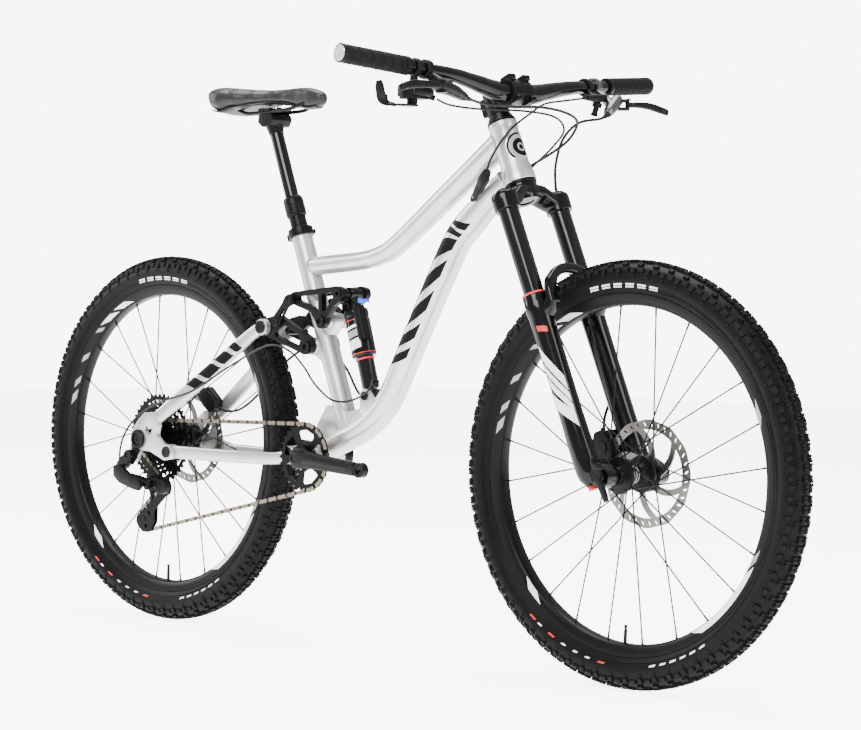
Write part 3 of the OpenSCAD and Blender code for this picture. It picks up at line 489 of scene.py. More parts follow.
# ---------------------------------------------------------------- main points, as (x, z), and slanted frames
AXLE_H = 352
REAR, FRONT = (-575, AXLE_H), (575, AXLE_H)
BB, MAIN, HORST = (-149, 340.5), (-196, 345), (-494, 331.5)
STAY, LINK, ROCK = (-268, 574), (-160, 541), (-124, 588)
ROCK_REAR, ROCK_FRONT, STRUT = (-200, 627), (-80, 638), (-236, 584)
SHOCK_LOW, KNUCKLE, GUIDE = (-24, 456.5), (-519, 263), (-563, 268)
TENSION, HANGER = (-586, 196), (-591, 320)
HEAD_ANGLE, SEAT_ANGLE = math.radians(66.5), math.radians(69.3)
STEER_UP = Vector((-math.cos(HEAD_ANGLE), 0, math.sin(HEAD_ANGLE)))
STEER_FWD = Vector((math.sin(HEAD_ANGLE), 0, math.cos(HEAD_ANGLE)))
STEER_FOOT = Vector((FRONT[0], 0, FRONT[1])) - STEER_FWD * 42
SEAT_UP = Vector((-math.cos(SEAT_ANGLE), 0, math.sin(SEAT_ANGLE)))
SEAT_FWD = Vector((math.sin(SEAT_ANGLE), 0, math.cos(SEAT_ANGLE)))
SEAT_TOP = Vector((-217.4, 0, 752))
SHOCK_A = Vector((SHOCK_LOW[0], 0, SHOCK_LOW[1]))
SHOCK_UP = (Vector((ROCK_FRONT[0], 0, ROCK_FRONT[1])) - SHOCK_A).normalized()
SHOCK_FWD = Vector((SHOCK_UP.z, 0, -SHOCK_UP.x))
SHOCK_LEN = math.hypot(ROCK_FRONT[0] - SHOCK_LOW[0], ROCK_FRONT[1] - SHOCK_LOW[1])
CROWN_S, HEAD_S, HEAD_TOP, LEG_TOP = 535, 541, 651, 514
LEG_O, LEG_Y = 11, 66


def steer(o, y, s):
    return STEER_FOOT + STEER_FWD * o + E_Y * y + STEER_UP * s


def seat(x, y, t):
    return SEAT_TOP + SEAT_FWD * x + E_Y * y + SEAT_UP * t


def shock(x, y, w):
    return SHOCK_A + SHOCK_FWD * x + E_Y * y + SHOCK_UP * w


def at(p, y):
    return Vector((p[0], y, p[1]))


def polar(c, r, a):
    """The [x, z] point at angle a, in degrees, round c."""
    return c[0] + r * math.cos(math.radians(a)), c[1] + r * math.sin(math.radians(a))


# ---------------------------------------------------------------- wheels
SPOKES = 24
RIM_IN = 278
TYRE_C = 321
PITCHES = 68
TYRE_R, TYRE_Y = 26.4, 27.6      # the casing's section, in the wheel's plane and across it
RIM_MARK = ((280.4, 14.0), (290.0, 16.75))      # (radius, y) of a mark's inner and outer edge


def wheel_point(c, theta, r, y):
    a = 2 * PI * theta
    return c[0] + r * math.cos(a), y, c[1] + r * math.sin(a)


def knob(m, c, theta, cross, long, wide, base=26.0, tall=30.9, halves=2, taper=0.84):
    """A tread block, cut by sipes into halves, at a turn theta and a cross-section angle in degrees."""
    g = math.radians(cross)
    for h in range(halves):
        part = long / halves
        mid = -long / 2 + part * (h + 0.5)
        verts = []
        for lift, k in ((base, 1.0), (tall, taper)):
            for du, dv in ((-1, -1), (1, -1), (1, 1), (-1, 1)):
                u = mid + du * (part / 2 - 0.35) * (k if halves == 1 else 1 - (1 - k) * 0.5)
                v = dv * wide / 2 * k
                r = TYRE_C + lift * math.cos(g) - v * math.sin(g)
                y = lift * math.sin(g) * 1.03 + v * math.cos(g)
                verts.append(wheel_point(c, theta + u / (2 * PI * 345), r, y))
        m.add(verts, [(4, 5, 6, 7), (0, 4, 7, 3), (1, 2, 6, 5), (0, 1, 5, 4), (3, 7, 6, 2)])


def tyre(c, name, body):
    o = (c[0], 0, c[1])
    m = Mesh()
    outer = [(TYRE_C + TYRE_R * math.cos(math.radians(a)),
              TYRE_Y * math.sin(math.radians(a))) for a in range(-135, 136, 9)]
    inner = [(TYRE_C + 22.5 * math.cos(math.radians(a)), 24 * math.sin(math.radians(a))) for a in range(126,
                                                                                                        -127,
                                                                                                        -18)]
    prof = [(296.8, -15.6), (299, -18.6), *outer, (299, 18.6), (296.8, 15.6), *inner]
    m.turned(prof, o, E_Y, 144, True, (1, 0, 0))
    for s in (-1, 1):
        for r, y in ((305.5, 23.2), (309.0, 25.6)):
            m.turned([(r - 0.7, s * y), (r, s * (y + 0.7)), (r + 0.7, s * y)], o, E_Y, 144, True, (1, 0, 0))
    m.piece(name + "_casing", body, SIDEWALL, "tyre_rubber", 60, hides=(name,))
    m = Mesh()
    for i in range(PITCHES):
        t = i / PITCHES
        h = 0.5 / PITCHES
        for s in (-1, 1):
            knob(m, c, t, s * 9.5, 13, 8.4)
            knob(m, c, t + h, s * 13.5, 11, 8.0)
            knob(m, c, t + h * 0.5, s * 35, 10, 7.6, tall=30.4)
            knob(m, c, t, s * 59, 13, 8.6, tall=30.3, halves=1)
            knob(m, c, t + h, s * 63, 10, 10.5, tall=30.1, halves=1)
            knob(m, c, t + h, s * 82, 8, 5.0, tall=28.0, halves=1)
    m.piece(name + "_tread", body, TREAD, "tyre_rubber", 25, bevel=0.0)


def rim(c, name, body, valve_at):
    o = (c[0], 0, c[1])
    m = Mesh()
    half = [(276.6, 0), (276.8, 5.6), (277.6, 9.6), (279.2, 12.6), (282, 14.4), (290.5, 16.5), (296.4, 17.0),
            (297, 16.6),
            (297, 14.0), (296.5, 13.6), (291, 13.4), (289.4, 12.6), (287.4, 5), (287, 0)]
    prof = [(r, -y) for r, y in half[::-1]] + half[1:]
    m.turned(prof, o, E_Y, 180, True, (1, 0, 0))
    m.piece(name + "_hoop", body, RIM, "rim_black", 38, hides=(name,))
    m = Mesh()
    p = polar(c, 279, valve_at)
    q = polar(c, 246, valve_at)
    d = (at(q, 0) - at(p, 0)).normalized()
    m.turned([(0.01, 0), (4.2, 0), (4.2, 3), (3, 3.6), (3, 24), (2.3, 24.5), (2.3, 27), (2.9, 27.3),
              (2.9, 31.5),
              (2.2, 32.5), (0.01, 33)], at(p, 0), d, 16)
    m.piece(name + "_valve", body, BOLT, "black_steel", 30)


def rim_marks(c, name, body, marks):
    """Slanted blocks on both flanks of the rim: (start, end, slant, material), in degrees."""
    for k, (a0, a1, slant, mat) in enumerate(marks):
        m = Mesh()
        for s in (-1, 1):
            def place(u, v):
                r = RIM_MARK[0][0] + (RIM_MARK[1][0] - RIM_MARK[0][0]) * v
                y = RIM_MARK[0][1] + (RIM_MARK[1][1] - RIM_MARK[0][1]) * v
                x, z = polar(c, r, a0 + (a1 - a0) * u + slant * (v - 0.5))
                return (x, s * y, z), (x, s * (y - 0.35), z)
            skin(m, max(4, int(abs(a1 - a0) / 1.2)), 4, place)
        m.piece(f"{name}_mark_{k + 1}", body, mat, "rim_black", 60)


def spokes(c, name, body, flange_y, turn):
    m = Mesh()
    n = Mesh()
    for i in range(SPOKES):
        lean = -1 if (i // 2) % 2 == 0 else 1
        rim_a = 360 * i / SPOKES + turn
        y = flange_y[i % 2] + lean * 1.4
        a = at(polar(c, 27, rim_a + lean * 62), y)
        b = at(polar(c, RIM_IN + 1, rim_a), 0)
        d = (b - a).normalized()
        e = a + d * ((b - a).length - 15)
        # butted wire, thicker at its bent head
        m.turned([(1.35, 0), (1.35, 14), (1.3, 26), (1.3, (e - a).length - 20), (1.35, (e - a).length - 10),
                  (1.3, (e - a).length + 2)], a, d, 8)
        m.turned([(0.01, -2.2), (1.9, -2.0), (2.1, -1.2), (1.3, -0.6), (1.15, 0), (1.15, 1.6), (0.01, 1.6)],
                 a + E_Y * lean * 0.6, E_Y * -lean, 8)
        n.turned([(1.1, 0), (1.7, 0.4), (1.7, 11), (2.6, 12), (2.8, 14.5), (0.01, 16)], e, d, 10)
    m.piece(name + "_wires", body, SPOKE, "black_steel", 50, hides=(name,))
    n.piece(name + "_nipples", body, BOLT, "black_anodised", 40)


def rotor(c, name, body, y):
    """A brake rotor: a wavy braking track with slots, curved arms and an inner ring."""
    outline = []
    n = 144
    for i in range(n):
        a = 360 * i / n
        outline.append(polar(c, 89.0 + 0.9 * math.cos(math.radians(12 * a)), a))
    holes = [circle(c, 17.8, 48)]
    for i in range(6):
        base = 60 * i
        # window between two curved arms
        w = []
        for j in range(9):
            r = 30 + (73.5 - 30) * j / 8
            w.append(polar(c, r, base + 8 + 34 * (j / 8) + 90 * 5.2 / r))
        for j in range(7):
            w.append(polar(c, 73.5,
                           base + 42 + 90 * 5.2 / 73.5 + (60 - 2 * 90 * 3.4 / 73.5 - 8) * (j + 1) / 8))
        for j in range(9):
            r = 73.5 - (73.5 - 30) * j / 8
            w.append(polar(c, r, base + 60 + 8 + 34 * (1 - j / 8) - 90 * 3.4 / r))
        for j in range(5):
            e0 = base + 68 - 90 * 3.4 / 30
            e1 = base + 8 + 90 * 5.2 / 30
            w.append(polar(c, 30, e0 + (e1 - e0) * (j + 1) / 6))
        holes.append(w)
        holes.append(circle(polar(c, 22, base + 15), 2.3, 12))
    for i in range(36):
        a = 10 * i + 5
        slot = []
        for j in range(12):
            g = 2 * PI * j / 12
            u, v = 2.0 * math.cos(g), 4.6 * math.sin(g)
            r = 82 + v * 0.9
            slot.append(polar(c, r, a + math.degrees((u + v * 0.45) / r)))
        holes.append(slot)
    m = Mesh()
    m.flat(outline, y, y + 2, holes)
    m.piece(name + "_disc", body, STEEL, "stainless_steel", 30, hides=(name,))
    m = Mesh()
    for i in range(6):
        p = polar(c, 22, 60 * i + 15)
        bolt(m, at(p, y), (0, 1, 0), 4.0, 4.6, 1.9)
    m.piece(name + "_bolts", body, CHROME, "black_steel", 30)


def hub(c, name, body, half, bore, fl, rotor_y, drive_y):
    """A hub shell with two spoke flanges, a rotor seat and three grooved rings."""
    o = (c[0], 0, c[1])
    m = Mesh()
    f0, f1 = fl
    prof = [(bore, -half), (9.6, -half), (9.9, -half + 0.6), (9.9, -drive_y), (12.6, -drive_y),
            (13.2, -drive_y + 0.3),
            (16, f0 - 4.2), (18, f0 - 3.2), (28, f0 - 3.0), (30.2, f0 - 2.2), (31, f0), (30.2, f0 + 2.2),
            (28, f0 + 3.0), (20, f0 + 3.6),
            (16.6, f0 + 7), (14.6, f0 + 12), (14.2, f0 + 15), (14.2, f1 - 15), (14.6, f1 - 12),
            (16.6, f1 - 7), (20, f1 - 3.6),
            (28, f1 - 3.0), (30.2, f1 - 2.2), (31, f1), (30.2, f1 + 2.2), (28, f1 + 3.0), (24.5, f1 + 3.6),
            (24, f1 + 5),
            (24, rotor_y - 0.2), (17.7, rotor_y - 0.1), (17.7, rotor_y + 2.2), (16.4, rotor_y + 4.4),
            (12.4, rotor_y + 5), (12, half - 0.6),
            (11.6, half), (bore, half)]
    m.turned(prof, o, E_Y, 72, True)
    m.piece(name + "_shell", body, ANOD, "black_anodised", 35, hides=(name,))
    m = Mesh()
    for k in range(3):
        y = (f0 + f1) / 2 + (k - 1) * 6
        m.turned([(14.1, y - 1), (14.7, y - 0.6), (14.7, y + 0.6), (14.1, y + 1)], o, E_Y, 60, True)
    m.piece(name + "_rings", body, GREY, "black_anodised", 35)


tyre(FRONT, "front_tyre", "front_wheel")
tyre(REAR, "rear_tyre", "rear_wheel")
rim(FRONT, "front_rim", "front_wheel", 268.5)
rim(REAR, "rear_rim", "rear_wheel", 270)
MARKS = [(113, 120, 5, WHITE), (123, 130, 5, WHITE), (133, 135.5, 3, GREY), (147, 150, 3, GREY),
         (158, 161, 3, GREY), (164, 168, 3, GREY),
         (223, 230, 4, WHITE), (302, 332, 4, WHITE), (334, 338, 4, GREY), (20, 26, 4, GREY)]
rim_marks(FRONT, "front_rim", "front_wheel", MARKS)
rim_marks(REAR, "rear_rim", "rear_wheel", MARKS)


def tyre_marks(c, name, body, spans):
    """Plain blocks and dashes on both sidewalls.

    Each is (start, end, low, high, material); low and high are section angles.
    """
    for mat, tone in ((WHITE, "light"), (REDSEAL, "red")):
        m = Mesh()
        for a0, a1, g0, g1, _ in [span for span in spans if span[4] is mat]:
            for s in (-1, 1):
                def place(u, v):
                    g = math.radians(g0 + (g1 - g0) * v)
                    a = a0 + (a1 - a0) * u + 0.5 * (v - 0.5)
                    out = []
                    for d in (0.28, -0.5):
                        x, z = polar(c, TYRE_C + (TYRE_R + d) * math.cos(g), a)
                        out.append((x, s * (TYRE_Y + d) * math.sin(g), z))
                    return out
                skin(m, max(2, int(abs(a1 - a0))), 3, place)
        m.piece(f"{name}_{tone}_marks", body, mat, "tyre_rubber", 60)


for c, name, body in ((FRONT, "front_tyre", "front_wheel"), (REAR, "rear_tyre", "rear_wheel")):
    first = 104 if c is FRONT else 103
    spans = [(first - 4.6 * i, first - 4.6 * i - 3.2, 108, 125, WHITE) for i in range(6)]
    spans += [(a, a + 2.2, 108, 118, WHITE) for a in (282, 286, 290, 294, 298, 302)]
    spans += [(a, a + 2.6, 108, 116, REDSEAL) for a in (232, 241, 262)]
    spans += [(a, a + 1.6, 108, 114, WHITE) for a in (236, 247, 252, 257)]
    tyre_marks(c, name, body, spans)
spokes(FRONT, "front_spokes", "front_wheel", (-32, 24), 6)
spokes(REAR, "rear_spokes", "rear_wheel", (-20, 33), 7.5)
rotor(FRONT, "front_rotor", "front_wheel", 39)
rotor(REAR, "rear_rotor", "rear_wheel", 55)
hub(FRONT, "front_hub", "front_wheel", 50, 7.56, (-32, 24), 39, 44)
hub(REAR, "rear_hub", "rear_wheel", 70.8, 6.06, (-20, 33), 55, 24.9)


# ---------------------------------------------------------------- front triangle
TOP_RUN = [(-196, 686, 17.2), (-113, 693, 17), (-50, 699, 16.5), (-5, 709, 17.2), (38, 730, 18.6),
           (160, 817, 20.6),
           (262, 890, 22.3), (293, 912, 22.5)]
DOWN_RUN = [(288, 838, 17), (262, 813.5, 22.5), (205, 762, 26), (170, 722, 24.6), (89, 577, 23.4),
            (41, 487, 23.2), (21, 454, 23.2),
            (1, 429, 23), (-41, 397, 22.6), (-88, 375, 22.2), (-140, 351, 20)]


DOWN_POWER, DOWN_SQUASH = 2.25, 0.985


def run3(run):
    return [(x, 0, z) for x, z, r in run], [r for x, z, r in run]


def dist_line(p, a, d):
    v = p - a
    return (v - d * v.dot(d)).length


def in_head(p):
    s = (p - STEER_FOOT).dot(STEER_UP)
    r = 24.2 + max(0, (583 - s) / 26) * 3.5 if s < 583 else 24.2
    return HEAD_S - 2 < s < HEAD_TOP and dist_line(p, STEER_FOOT, STEER_UP) < r


def in_seat(p):
    return dist_line(p, SEAT_TOP, SEAT_UP) < 19.2


def in_shell(p):
    return math.hypot(p.x - BB[0], p.z - BB[1]) < 21.4


def weld(m, run, inside, sides=48, r=2.1, first=False):
    """The bead where a tube's surface goes into the tube it meets."""
    pts, rad = run3(run)
    st = stations(pts, rad, 40, (0, 1, 0))
    if first:
        st = st[::-1]
    loop = []
    for j in range(sides):
        a = 2 * PI * j / sides
        last = None
        for p, q, u, w, ru, rw in st:
            s = p + u * (ru * math.cos(a)) + w * (rw * math.sin(a))
            if inside(s):
                break
            last = s
        if last is not None:
            loop.append(last)
    bead(m, loop, r)


m = Mesh()
pts, rad = run3(TOP_RUN)
m.sweep(pts, rad, 40, 8)
pts, rad = run3(DOWN_RUN)
m.sweep(pts, [(r * DOWN_SQUASH, r) for r in rad], 44, 8, power=DOWN_POWER)
m.turned([(15.6, -402), (19, -402), (19, -0.8), (18.2, 0), (15.6, 0)], SEAT_TOP, SEAT_UP, 56, True)
m.turned([(20.4, HEAD_S), (28.2, HEAD_S), (28.6, HEAD_S + 0.6), (28.6, HEAD_S + 12), (27.6, HEAD_S + 17),
          (25.6, HEAD_S + 30),
          (24.4, HEAD_S + 44), (24, HEAD_S + 70), (24.1, HEAD_TOP - 16), (25.2, HEAD_TOP - 9),
          (25.4, HEAD_TOP - 7), (25.4, HEAD_TOP - 0.6),
          (25, HEAD_TOP), (20.4, HEAD_TOP)], STEER_FOOT, STEER_UP, 64, True)
m.turned([(17, -36.5), (20.6, -36.5), (21.2, -35.9), (21.2, 35.9), (20.6, 36.5), (17, 36.5)], at(BB, 0), E_Y,
         56, True)
m.piece("frame_tubes", "frame", RAW, "raw_aluminium", 32, hides=("front_frame",))
m = Mesh()
m.flat(rounded([(-167, 346), (-157, 388), (-126, 436), (-70, 426), (-28, 436), (8, 448), (-12, 404),
                (-88, 362), (-140, 336)], 9),
       -15, 15)
m.flat(rounded([(-172, 532), (-170, 545), (-150, 545), (-116, 520), (-126, 506)], 5), -14.5, 14.5)
m.flat(rounded([(-145, 608), (-117, 600), (-112, 585), (-120, 572), (-127.5, 560)], 4), -12.5, 12.5)
m.flat(rounded([(-204, 336), (-204, 357), (-160, 360), (-160, 332)], 6), -16, 16)
m.piece("frame_forgings", "frame", RAW, "raw_aluminium", 32, 2.6, segments=3)
m = Mesh()
for p, half, r in ((LINK, 22.5, 15), (ROCK, 22.5, 13), (MAIN, 31, 13.4)):
    m.turned([(6.2, -half), (r - 1.2, -half), (r, -half + 1.2), (r, half - 1.2), (r - 1.2, half),
              (6.2, half)], at(p, 0), E_Y, 44, True)
for s in (-1, 1):
    ear = flat(rounded([(-37, 458), (-31, 468), (-18, 469), (-9, 459), (12, 440), (-14, 410), (-36, 428)],
                       [5, 6, 6, 8, 3, 3, 3]),
               13, 20, [circle(SHOCK_LOW, 5, 20)])
    m.add(*(ear if s > 0 else mirror_y(ear)))
m.piece("frame_pivot_bosses", "frame", RAW, "raw_aluminium", 35, 0.9)
m = Mesh()
weld(m, TOP_RUN, in_head)
weld(m, TOP_RUN, in_seat, first=True)
weld(m, DOWN_RUN[4:], in_shell)
weld(m, DOWN_RUN[:5], in_head, first=True)
for p, half, r in ((LINK, 14.5, 15.2), (ROCK, 12.5, 13.2), (MAIN, 16, 13.6)):
    for s in (-1, 1):
        bead(m, [at(polar(p, r, 7.5 * k), s * (half + 0.6)) for k in range(48)], 1.3)
for k in (-1, 1):
    bead(m, [at(polar(BB, 21.2, 80 + 4 * j), k * 15.6) for j in range(40)], 1.6, closed=False)
m.piece("frame_welds", "frame", WELD, "raw_aluminium", 60)


def tube_mark(m, run, t0, t1, a0, a1, slant=0.0):
    """A mark on a tube's skin between path values t0 and t1 and angles a0 and a1.

    slant shifts one edge.
    """
    pts, rad = run3(run)

    def place(g, v):
        t = min(max(t0 + (t1 - t0) * g + slant * (v - 0.5), 0.02), len(pts) - 1.02)
        p = spline(pts, t)
        q = (spline(pts, t + 0.02) - spline(pts, t - 0.02)).normalized()
        r = radii_at(rad, t)[0]
        c, s = squared(math.radians(a0 + (a1 - a0) * v), DOWN_POWER)
        d = q.cross(E_Y) * (c * DOWN_SQUASH) + E_Y * s
        return p + d * (r + 0.3), p + d * (r - 0.4)
    skin(m, max(3, int((t1 - t0) * 14)), max(3, int(abs(a1 - a0) / 7)), place)


# generic slanted bars on both flanks of the down tube
m = Mesh()
for side_a in (-1, 1):
    for k, (t0, t1) in enumerate(((0.92, 1.16), (1.3, 1.6), (1.76, 2.12), (2.28, 2.5), (2.64, 2.86),
                                  (3.0, 3.22), (3.36, 3.56))):
        c = 270 if side_a < 0 else 90
        tube_mark(m, DOWN_RUN, t0 + 1, t1 + 1, c - 34, c + 34, 0.32 * side_a)
m.piece("down_tube_marks", "frame", DARK, "black_paint", 60)

# ports and small parts on the frame
m = Mesh()
for p, d, r in (((272, 27, 846), (0.1, 1, 0.35), 6.0), ((282, 26, 840), (0.3, 1, 0.3), 5.5),
                ((-32, 20, 421), (-0.5, 0.8, 0.3), 5.5), ((3, -22, 483), (0.1, -1, 0.3), 5.5)):
    m.turned([(0.01, -6), (r, -6), (r, 0.6), (r - 0.8, 1.8), (r - 2.6, 2.0), (r - 3.2, 1.0), (0.01, 1.0)], p,
             d, 24)
m.sweep([(280, -38.6, 852), (269, -36, 838), (256, -31, 824), (240, -28, 808), (234, -27, 802)],
        [(6.4, 5.4), (8.6, 8.4), (8, 7), (5.6, 4.2), (3.4, 3.2)], 28, 8, side=(0, 1, 0), power=3)
m.piece("cable_ports", "frame", PLASTIC, "black_plastic", 35)
m = Mesh()
bolt(m, (241, -31.2, 809), (0, -1, 0), 3, 1.4, 1.4)
m.piece("cable_guide_screw", "frame", CHROME, "black_steel", 35)


# head badge: plain concentric rings, wrapped round the head tube
def wrapped(rho0, rho1, lift, name, mat):
    """A ring of skin on the front of the head tube, from radius rho0 to rho1 as if laid flat."""
    top, base, faces = [], [], []
    n, k = 64, 6
    for j in range(k + 1):
        rho = rho0 + (rho1 - rho0) * j / k
        for i in range(n):
            a = 2 * PI * i / n
            phi = rho * math.cos(a) / 24.6
            for lst, r in ((top, 24.5 + lift), (base, 23.8)):
                lst.append(steer(r * math.cos(phi), -r * math.sin(phi), 598 + rho * math.sin(a)))
    for j in range(k):
        for i in range(n):
            q, w = j * n + i, j * n + (i + 1) % n
            faces.append((q, w, w + n, q + n))
    c = len(top)
    out = [*faces, *[tuple(reversed([i + c for i in f])) for f in faces]]
    for row in (0, k):
        for i in range(n):
            q, w = row * n + i, row * n + (i + 1) % n
            out.append((q, w, w + c, q + c))
    m = Mesh()
    m.add([*top, *base], out)
    m.piece(name, "frame", mat, "black_paint", 40)


wrapped(0.5, 27, 0.35, "head_badge", DARK)
wrapped(16.5, 23.5, 0.6, "head_badge_ring", GREY)
wrapped(5, 8, 0.6, "head_badge_centre", GREY)
m = Mesh()
for p, half in ((LINK, 41.5), (ROCK, 41.5), (MAIN, 45.6)):
    for s in (-1, 1):
        r = 11 if p is MAIN else 10
        bolt(m, at(p, s * (36.3 if p is not MAIN else 44.4)), (0, s, 0), r, 4.6 if p is not MAIN else 1.2,
             5.0, n=32)
    m.turned([(0.01, -half + 4), (5.9, -half + 4), (5.9, half - 4), (0.01, half - 4)], at(p, 0), E_Y, 24)
for s in (-1, 1):
    bolt(m, at(SHOCK_LOW, s * 20), (0, s, 0), 8, 3.5, 3.6, n=28)
m.turned([(0.01, -21), (4.9, -21), (4.9, 21), (0.01, 21)], at(SHOCK_LOW, 0), E_Y, 20)
m.piece("pivot_bolt_heads", "frame", BOLT, "black_anodised", 35, hides=("pivot_bolts",))
m = Mesh()
m.turned([(14.7, HEAD_TOP), (25, HEAD_TOP), (25.4, HEAD_TOP + 0.6), (25.4, HEAD_TOP + 4),
          (24.6, HEAD_TOP + 5.2),
          (18.6, HEAD_TOP + 17), (17.4, HEAD_TOP + 17.5), (14.7, HEAD_TOP + 17.5)], STEER_FOOT, STEER_UP, 56,
         True)
m.turned([(20.5, CROWN_S + 0.3), (27, CROWN_S + 0.3), (27.6, CROWN_S + 1), (27.6, HEAD_S - 0.4), (27, HEAD_S),
          (20.5, HEAD_S)],
         STEER_FOOT, STEER_UP, 56, True)
for s in (-1, 1):
    m.turned([(12.4, 36.5), (21.6, 36.5), (21.9, 37.2), (21.9, 41), (20.6, 42.6), (19.6, 43.4), (19.6, 45.2),
              (19.0, 46), (12.4, 46)],
             at(BB, 0), (0, s, 0), 48, True)
m.piece("headset_and_bottom_bracket_cups", "frame", ANOD, "black_anodised", 30, hides=("bearing_cups",))


# ---------------------------------------------------------------- seat post, clamp and saddle
m = Mesh()
m.turned([(15.6, -11.6), (22.2, -12), (23, -11.2), (23, 3.2), (22.2, 4), (15.6, 4)], SEAT_TOP, SEAT_UP, 56,
         True)
m.flat(rounded([(-31, -8), (-31, 8), (-19, 9.5), (-19, -9.5)], 2), -10, 2, place=lambda x, y,
       z: seat(x, z, y))
m.piece("seat_collar", "frame", ANOD, "black_anodised", 30, 0.5, hides=("seat_clamp_collar",))
m = Mesh()
m.turned([(12.8, -60), (15.5, -60), (15.5, 27.5), (17.4, 28.6), (18.4, 30.2), (18.6, 33), (18.6, 58),
          (18.0, 62), (16.4, 65.4),
          (13.6, 66), (12.8, 66)], SEAT_TOP, SEAT_UP, 56, True)
for t in (36, 41, 46):
    m.turned([(18.5, t), (18.9, t + 0.7), (18.9, t + 2.1), (18.5, t + 2.8)], SEAT_TOP, SEAT_UP, 56, True)
m.piece("dropper_lower_post", "frame", ANOD, "black_anodised", 30, hides=("dropper_outer_tube",))
m = Mesh()
m.turned([(0.01, -60), (12.6, -60), (12.6, 191.4), (14.0, 192), (0.01, 193)], SEAT_TOP, SEAT_UP, 56)
m.piece("dropper_upper_post", "saddle_post", STANCH, "black_anodised", 30, hides=("dropper_stanchion",))
m = Mesh()
m.flat(rounded([(-311, 953), (-309, 966), (-300, 971.6), (-283, 971.6), (-274, 966), (-272, 957), (-278, 946),
                (-299, 944)], 4), -25, 25)
m.sweep([seat(0, 0, 192), seat(0, 0, 199), (-291, 0, 948), (-291, 0, 956)], [13.4, 14.5, 17, 17.5], 32, 6)
m.piece("saddle_clamp_lower", "saddle_post", ANOD, "black_anodised", 32, 2.2, segments=3)
m = Mesh()
m.flat(rounded([(-308, 973.4), (-307, 978.4), (-277, 978.4), (-276, 973.4)], 2), -28, 28)
for x in (-303.5, -280.5):
    bolt(m, (x, 0, 978), (0, 0, 1), 4.6, 3.4, 2.0)
    m.turned([(0.01, 0), (5.2, 0), (5.2, 5), (0.01, 5)], (x, 0, 939.5), (0, 0, 1), 20)
m.piece("saddle_clamp_upper", "saddle_post", ANOD, "black_anodised", 32, 0.9)


def rail(s, x):
    return (x, s * 22, 974 - (-245 - x) * 4 / 95)


m = Mesh()
for s in (-1, 1):
    m.sweep([(-186, s * 10, 992), (-198, s * 13, 986), (-226, s * 19.5, 977), rail(s, -245), rail(s, -290),
             rail(s, -335),
             (-352, s * 23.6, 973), (-372, s * 27.5, 981), (-388, s * 30.5, 989)], [3.5] * 9, 16, 6,
            side=(0, 1, 0))
m.piece("rails", "saddle_post", BOLT, "black_steel", 40, hides=("saddle_rails",))
m = Mesh()
pathp = [seat(26.3 * math.cos(math.radians(g)), 26.3 * math.sin(math.radians(g)), -4) for g in range(154, 44,
                                                                                                     -10)]
m.sweep(pathp, [(1.9, 3.9)] * 3 + [(2.0, 4.2)] * (len(pathp) - 5) + [(2.2, 4.0), (1.6, 3.2)], 20, 4,
        side=tuple(SEAT_UP), power=3)
m.turned([(0.01, 0), (4.3, 0), (4.8, 0.5), (4.8, 9.5), (4.3, 10), (0.01, 10)], seat(-26, 13.4, -9), SEAT_UP,
         24)
m.piece("seat_clamp_handle", "clamp_lever", ANOD, "black_anodised", 32, hides=("seat_clamp_lever",))


# ---------------------------------------------------------------- fork
def steer_box(o0, o1, y0, y1, s0, s1, r=3):
    """A rounded block in the steering frame."""
    return flat(rounded([(o0, s0), (o0, s1), (o1, s1), (o1, s0)], r), y0, y1, place=lambda x, y,
                z: steer(x, y, z))


m = Mesh()
m.turned([(14.4, 560), (19.2, CROWN_S + 18), (19.6, CROWN_S + 2), (26.2, CROWN_S - 0.4), (26.4, CROWN_S - 5),
          (26, CROWN_S - 14), (24, 505.6),
          (14.4, 505.6)], STEER_FOOT, STEER_UP, 56, True)
m.turned([(11.5, 540), (14.3, 600), (14.3, 728), (11.5, 728)], STEER_FOOT, STEER_UP, 40, True)
for s in (-1, 1):
    m.turned([(17.6, 483.5), (21.8, 483.5), (22.6, 484.4), (22.8, 500), (22.8, 508), (22, 512.4), (20, 514.6),
              (17.6, 515)],
             steer(LEG_O, s * LEG_Y, 0), STEER_UP, 56, True)
crown_path = [steer(LEG_O - 1, -LEG_Y + 4, 497), steer(9, -48, 503), steer(4, -25, 518.5), steer(2, 0, 520),
              steer(4, 25, 518.5), steer(9, 48, 503), steer(LEG_O - 1, LEG_Y - 4, 497)]
m.sweep(crown_path, [(13, 19), (14, 19), (13, 22), (13.4, 24), (13, 22), (14, 19), (13, 19)], 32, 8,
        side=tuple(STEER_FWD), power=2.8)
m.piece("crown_forging", "steerer", PAINT, "black_paint", 32, hides=("fork_crown",))
m = Mesh()
m.turned([(0.01, 514.6), (16, 514.6), (16.6, 515.2), (16.6, 517), (15, 519), (11, 520), (0.01, 520)],
         steer(LEG_O, LEG_Y, 0), STEER_UP, 40)
m.turned([(0.01, 512), (15.6, 512), (15.6, 514.2), (0.01, 514.3)], steer(LEG_O, -LEG_Y, 0), STEER_UP, 40)
m.piece("stanchion_caps", "steerer", ANOD, "black_anodised", 30)
m = Mesh()
knurl = []
for k in range(48):
    a = 2 * PI * k / 48
    r = 11 - (0.7 if k % 4 == 0 else 0)
    knurl.append((LEG_O + r * math.cos(a), -LEG_Y + r * math.sin(a)))
m.flat(knurl, LEG_TOP + 1.3, LEG_TOP + 6.4, place=lambda x, y, z: steer(x, z, y))
m.flat(rounded([(LEG_O, -LEG_Y - 3.6), (LEG_O + 12.8, -LEG_Y - 2.4), (LEG_O + 12.8, -LEG_Y + 2.4),
                (LEG_O, -LEG_Y + 3.6)], [0, 2, 2, 0]),
       LEG_TOP + 3.6, LEG_TOP + 6.2, place=lambda x, y, z: steer(x, z, y))
